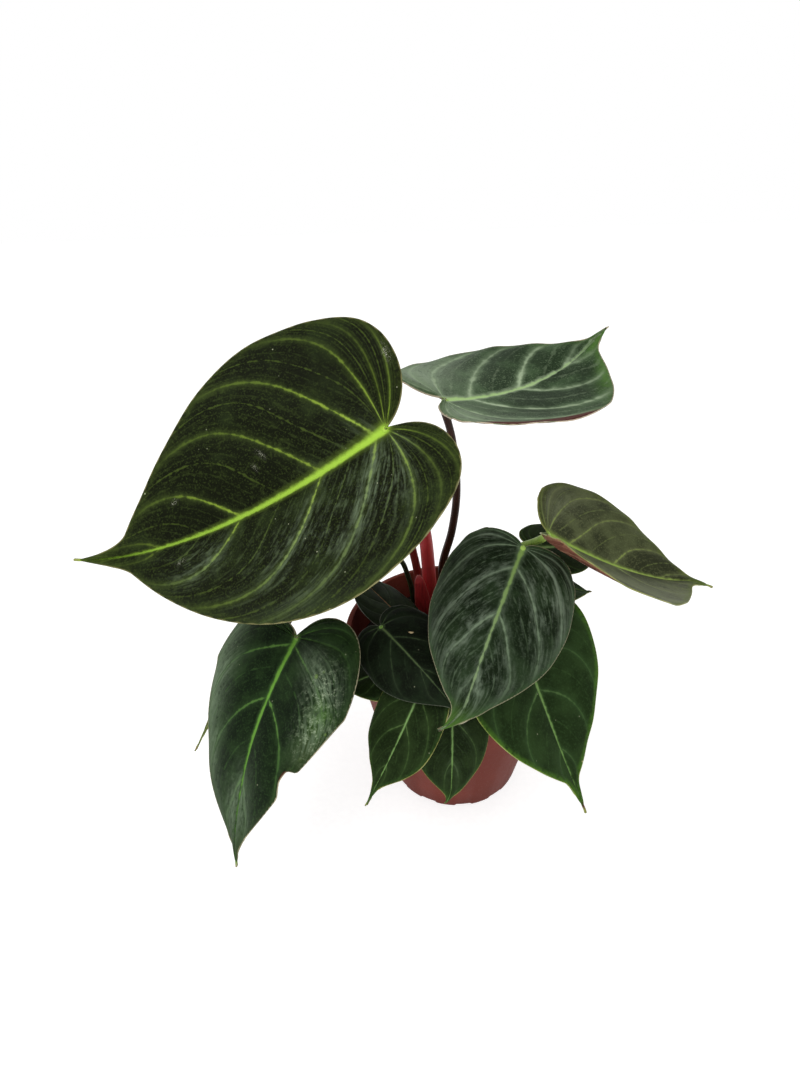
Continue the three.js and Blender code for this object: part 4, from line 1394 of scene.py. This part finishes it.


# For each leaf: its name, finishes and slot, the base, length, half width, heading and pitch of its blade,
# and the foot, the way points and the radius of its stalk. Then comes what differs from the plain leaf.
# Their silver marks paint sheen where the velvet catches the light.
LEAVES = (
    Leaf("leaf_large_left", OLIVE, RED_STALK, "blade_dark_olive",
         (-34, -13, 216), 167, 69, 188, -32, (-18.5, 31),
         ((-19.5, 30.5, 113), (-23, 27.5, 135), (-28, 17, 175)), 2.2,
         roll=-40, bend=30, hook=4, twist=-22, fold_left=19, fold_right=14, curl_left=2, curl_right=-13,
         lobe=0.13, wide=0.2, acumen=0.19, full=0.7, width_left=0.94, rib_width=1.1, rows=220, columns=60,
         wave=0.15,
         marks=(Mark(Kind.SILVER_SHEEN, 0.42, -0.35, 0.12, 0.35, 0.75),
                Mark(Kind.SILVER_SHEEN, 0.54, -0.5, 0.12, 0.35, 0.6),
                Mark(Kind.SILVER_SHEEN, 0.28, -0.2, 0.15, 0.25, 0.5),
                Mark(Kind.SILVER_SHEEN, 0.77, -0.45, 0.05, 0.3, 0.5),
                Mark(Kind.SCAR, 0.77, 0.6, 0.005, 0.018), Mark(Kind.SCAR, 0.61, 0.35, 0.003, 0.03, 0.8),
                Mark(Kind.SCAR, 0.635, 0.3, 0.0025, 0.02, 0.8),
                Mark(Kind.SCAR, 0.17, 0.88, 0.012, 0.04), Mark(Kind.SCAR, 0.8, -0.47, 0.004, 0.045, 0.8),
                Mark(Kind.SHADE, 0.2, 0.75, 0.1, 0.3, 0.9), Mark(Kind.SHADE, 0.4, 0.55, 0.08, 0.25, 0.7),
                Mark(Kind.SHADE, 0.75, 0.25, 0.06, 0.2, 0.7))),
    Leaf("leaf_upper_right", SILVER_SHEEN, MAROON_STALK, "blade_silver_green",
         (-5, 30, 215), 123, 52, 27, -7, (-4, 34),
         ((-5, 34, 116), (0, 33, 140), (2, 32, 165), (-1, 31, 194)), 2.2,
         roll=10, droop=-33, bend=-29, hook=12, twist=8, fold_right=1, curl_right=24, lobe=0.11, acumen=0.16,
         lobe_right=0.9, rows=200, columns=52, veins=6, quilt=1.2,
         marks=(Mark(Kind.SHADE, 0.63, -0.75, 0.06, 0.3, 0.9), Mark(Kind.SHADE, 0.74, -0.6, 0.06, 0.3, 0.9),
                Mark(Kind.SHADE, 0.56, 0.45, 0.06, 0.25, 0.9), Mark(Kind.SHADE, 0.67, 0.35, 0.05, 0.3, 0.9),
                Mark(Kind.SHADE, 0.8, 0.1, 0.06, 0.25, 0.8), Mark(Kind.SHADE, 0.86, -0.5, 0.05, 0.5, 0.7),
                Mark(Kind.SILVER_SHEEN, 0.28, -0.5, 0.16, 0.7), Mark(Kind.SILVER_SHEEN, 0.22, 0.6, 0.15, 0.6, 0.8),
                Mark(Kind.LEAFY, 0.78, 1.0, 0.12, 0.14), Mark(Kind.LEAFY, 0.92, 0.7, 0.05, 0.4, 0.7),
                Mark(Kind.SHADE, 0.73, 0.65, 0.09, 0.3, 0.9),
                Mark(Kind.RUST, 0.38, 1.0, 0.15, 0.15))),
    Leaf("leaf_left_hanging", HANGING, GREEN_STALK, "blade_velvet_green",
         (-80, -32, 119), 107, 44.5, 234, -37, (-24, 21),
         ((-29, 14, 94), (-38, 0, 97), (-50, -14, 101.5), (-59, -21, 106), (-70, -27, 112)), 1.6,
         roll=3, droop=31, bend=-18, hook=4, twist=4, fold_left=10, fold_right=1, curl_left=-20,
         curl_right=-10, lobe=0.15, wide=0.22, acumen=0.14, full=0.1, lobe_right=0.41, rows=170, columns=48,
         rib_width=0.85, veins=5, quilt=1.5,
         bite=(0.69, 0.028, 0.13, -1.0),
         marks=(Mark(Kind.CREAM, 0.45, -0.66, 0.08, 0.2), Mark(Kind.CREAM, 0.56, -0.85, 0.06, 0.2, 0.9),
                Mark(Kind.LIME, 0.52, -0.78, 0.05, 0.12, 0.5), Mark(Kind.SILVER_SHEEN, 0.5, 0.97, 0.28, 0.27),
                Mark(Kind.SILVER_SHEEN, 0.9, 0.0, 0.1, 0.9, 0.9), Mark(Kind.SILVER_SHEEN, 0.4, -0.4, 0.08, 0.2, 0.6),
                Mark(Kind.SHADE, 0.52, -0.42, 0.09, 0.09, 0.9), Mark(Kind.LEAFY, 0.6, -0.92, 0.05, 0.15, 0.6),
                Mark(Kind.RUST, 0.69, -1.0, 0.02, 0.06))),
    Leaf("leaf_right_folded", GREY, LIME_STALK, "blade_grey_green",
         (41, -13, 162), 97, 41.5, -6, -30, (0, 27), ((4, 21, 112), (17, 10, 137), (32, -4, 151)), 1.9,
         roll=15, droop=-10, bend=-32, hook=28, twist=2, fold_left=8, fold_right=23, curl_left=0,
         curl_right=17, lobe=0.09, wide=0.25, acumen=0.17, full=0.9, rows=170, columns=48, veins=6,
         lifts=(Lift(0.24, 0.11, 1, 0.72, 4.0),),
         marks=(Mark(Kind.SHADE, 0.8, -0.6, 0.05, 0.25, 0.9), Mark(Kind.SHADE, 0.6, -0.8, 0.05, 0.2, 0.6),
                Mark(Kind.SHADE, 0.86, 0.3, 0.04, 0.4, 0.6), Mark(Kind.SILVER_SHEEN, 0.62, 0.7, 0.25, 0.5, 0.9),
                Mark(Kind.SILVER_SHEEN, 0.3, -0.5, 0.15, 0.4, 0.6))),
    Leaf("leaf_front_centre", VELVET, LIME_STALK, "blade_velvet_green",
         (28, -20, 159), 94, 34, 242, -25, (-4, 20), ((1, 14, 112), (14, 2, 138), (25, -12, 153)), 1.8,
         roll=-19, droop=6, bend=-3, hook=46, twist=7, fold_left=-9, fold_right=-3, curl_right=-38, lobe=0.07,
         wide=0.25, acumen=0.13, lobe_left=0.91, rows=170, columns=48, rib_width=0.8, veins=6,
         marks=(Mark(Kind.SILVER_SHEEN, 0.42, -0.55, 0.2, 0.5, 0.8), Mark(Kind.SILVER_SHEEN, 0.6, 0.45, 0.22, 0.5, 0.8),
                Mark(Kind.SILVER_SHEEN, 0.8, -0.3, 0.12, 0.6, 0.5), Mark(Kind.SILVER_SHEEN, 0.25, 0.7, 0.12, 0.4, 0.5))),
    Leaf("leaf_front_right", BRIGHT, GREEN_STALK, "blade_mid_green",
         (25, -46, 124), 80, 37.5, 303, -56, (0, 12), ((4, 4, 108), (14, -20, 122)), 1.6,
         droop=-8, bend=3, twist=-10, fold_right=7, curl_left=7, curl_right=-10, lobe=0.22, wide=0.14,
         acumen=0.2, full=0.9, lobe_left=1.12, lobe_right=0.75, rows=170, columns=48, rib_width=0.7, veins=5,
         marks=(Mark(Kind.SILVER_SHEEN, 0.42, -0.2, 0.1, 0.3, 0.4),
                Mark(Kind.SPOT, 0.83, -0.97, 0.008, 0.08, 0.6))),
    Leaf("leaf_far_left", GREY, GREEN_STALK, "blade_night_green",
         (-109, 12, 82), 68, 22.5, 227, -30, (-22, 38),
         ((-25, 34, 109), (-31, 30, 125), (-58, 24, 137), (-85, 21, 110), (-97, 18, 86)), 1.4,
         roll=24, droop=13, bend=-7, wide=0.24, acumen=0.24, veins=5),
    Leaf("leaf_low_front_left", SMALL, GREEN_STALK, "blade_mid_green",
         (-22, -64, 114), 55, 19.5, 233, -43, (-11, 4), ((-13, -8, 105), (-19, -34, 112)), 1.2,
         roll=-2, droop=13, bend=11, hook=-3, fold_left=10, fold_right=-5, curl_left=-12, curl_right=-20,
         acumen=0.2, width_left=0.89, lobe_left=0.6, lobe_right=0.6, rib_width=0.55, veins=5),
    Leaf("leaf_low_front_centre", SMALL, GREEN_STALK, "blade_mid_green",
         (-8, -63, 107), 54, 19.5, 270, -67, (-5, 4), ((-5, -7, 100), (-6, -34, 106)), 1.2,
         roll=-1, droop=17, bend=3, hook=25, fold_left=-1, fold_right=1, curl_left=-21, curl_right=-18,
         acumen=0.11, width_left=0.9, lobe_right=0.5, rib_width=0.55, veins=4,
         marks=(Mark(Kind.SILVER_SHEEN, 0.7, -0.1, 0.2, 0.6, 0.45),)),
    Leaf("leaf_centre_dark", NIGHT, GREEN_STALK, "blade_night_green",
         (-39, -39, 130), 53, 22, 305, -4, (-13, 11), ((-15, -3, 106), (-31, -25, 118)), 1.4,
         roll=10, droop=24, bend=-2, fold_left=2, fold_right=-26, curl_left=-14, curl_right=-24, lobe=0.14,
         acumen=0.09, width_right=0.93, rib_width=0.5, veins=4,
         marks=(Mark(Kind.SPOT, 0.52, -0.38, 0.012, 0.05),)),
    Leaf("leaf_inner_left", BRONZE, GREEN_STALK, "blade_night_green",
         (-28, 1, 102), 45, 18.5, 132, 18, (-22, 6), ((-23.5, 4.5, 94),), 1.1,
         roll=15, droop=7, bend=3, lobe=0.1, acumen=0.1, lobe_right=0.6, rib_width=0.5, veins=5),
    Leaf("leaf_back_right", SMALL, GREEN_STALK, "blade_night_green",
         (45, 16, 137), 43, 18, 17, -6, (5, 31), ((10, 28, 110), (28, 22, 128)), 1.3,
         roll=16, droop=24, bend=14, fold_left=7, fold_right=1, curl_left=-11, curl_right=-20, lobe=0.18,
         veins=5),
    Leaf("leaf_rim_right", FRESH, GREEN_STALK, "blade_mid_green",
         (37, 0, 128), 36, 15, -2, -13, (6, 20), ((11, 17, 106), (25, 8, 120)), 1.2,
         droop=8, bend=-3, hook=-30, veins=5),
    Leaf("leaf_rim_left", SMALL, GREEN_STALK, "blade_mid_green",
         (-31, -40.5, 107.2), 32, 15, 197, -4, (-19, -2), ((-21, -10, 97), (-27, -28, 101)), 1.1,
         droop=14, hook=5, fold_left=-7, fold_right=4, curl_left=-24, curl_right=-8, lobe_left=0.6, veins=5),
)


@dataclass
class Studio:
    """A plain pale floor, soft white light and the camera at the photograph's angle.

    The camera's shift is where the part's origin lies before it, in mm to the right, down and ahead. Its
    focal length is in pixels of the photograph. The lamp and the floor are in metres.
    """

    focal_px: float = 600
    pitch: float = 29.3
    roll: float = -1.6
    shift: tuple[float, float, float] = (32.9, 136.8, 374.8)
    sensor: float = 36
    near: float = 0.01
    lamp_at: tuple[float, float, float] = (-0.5, -0.5, 1.2)
    lamp_aim: tuple[float, float, float] = (0, 0, 0.12)
    lamp_size: float = 0.7
    lamp_power: float = 6
    floor_half: float = 6
    floor_glow: float = 0.75

    def camera(self) -> bpy.types.Object:
        """Places the camera from the pitch, the roll and the place of the origin before it.

        Returns:
            The camera.
        """
        pitch, roll = math.radians(self.pitch), math.radians(self.roll)
        right = Vector((1, 0, 0))
        forward = Vector((0, math.cos(pitch), -math.sin(pitch)))
        level = Matrix((right, forward.cross(right), forward))
        c, s = math.cos(roll), math.sin(roll)
        view = Matrix(((c, -s, 0), (s, c, 0), (0, 0, 1))) @ level
        place = -(view.transposed() @ Vector(self.shift)) * MM
        axes = Matrix((view[0], -view[1], -view[2])).transposed()
        data = bpy.data.cameras.new("camera")
        data.sensor_fit = "AUTO"
        data.sensor_width = self.sensor
        data.lens = self.focal_px / PHOTO_HEIGHT * self.sensor
        data.clip_start = self.near
        made = bpy.data.objects.new("camera", data)
        made.matrix_world = Matrix.Translation(place) @ axes.to_4x4()
        bpy.context.scene.collection.objects.link(made)
        bpy.context.scene.camera = made
        return made

    def light(self) -> None:
        """Lights the plant in a white room with a grey ceiling and one large soft lamp at its front left."""
        world = bpy.data.worlds.new("white_room")
        bpy.context.scene.world = world
        world.use_nodes = True
        tree = world.node_tree
        back = next(n for n in tree.nodes if n.type == "BACKGROUND")
        up = add(tree, "SeparateXYZ", {0: add(tree, "TexCoord", out=3)}, 2)
        tree.links.new(paint(tree, "#ffffff", [("#cccccc", (up, 0.45, 0.8))]), back.inputs["Color"])
        lamp = bpy.data.lights.new("soft_lamp", "AREA")
        lamp.shape = "DISK"
        lamp.size = self.lamp_size
        lamp.energy = self.lamp_power
        made = bpy.data.objects.new("soft_lamp", lamp)
        made.location = self.lamp_at
        made.rotation_euler = (Vector(self.lamp_aim) - made.location).to_track_quat("-Z", "Y").to_euler()
        bpy.context.scene.collection.objects.link(made)
        bpy.context.scene.view_settings.view_transform = "Standard"

    def floor(self) -> bpy.types.Object:
        """Lays the floor: white paper, so bright that only a faint contact shadow shows.

        Returns:
            The floor, which isn't part of the object.
        """
        material, tree, shader = surface("white_paper")
        fibre = add(tree, "TexNoise", {"Vector": real_mm(tree), "Scale": 1 / 3, "Detail": 3.0})
        dress(shader, paint(tree, "#c0c0c0", [("#b8b8b8", (fibre, 0.4, 0.6))]))
        shader.inputs["Roughness"].default_value = 0.9
        shader.inputs["Specular IOR Level"].default_value = 0.0
        shader.inputs["Emission Color"].default_value = linear("#ffffff")
        shader.inputs["Emission Strength"].default_value = self.floor_glow
        bm = bmesh.new()
        bmesh.ops.create_grid(bm, x_segments=2, y_segments=2, size=self.floor_half)
        mesh = bpy.data.meshes.new("floor")
        bm.to_mesh(mesh)
        bm.free()
        mesh.materials.append(material)
        made = bpy.data.objects.new("floor", mesh)
        bpy.context.scene.collection.objects.link(made)
        return made


def main() -> None:
    """Builds every piece in order, then the studio."""
    logging.basicConfig(level=logging.INFO, format="%(name)s %(message)s")
    pot = NurseryPot()
    pot.build()
    PottingMix(pot=pot).build()
    Crown().build()
    for leaf in LEAVES:
        leaf.blade()
        leaf.petiole()
    studio = Studio()
    studio.camera()
    studio.light()
    studio.floor()


if __name__ == "__main__":
    main()
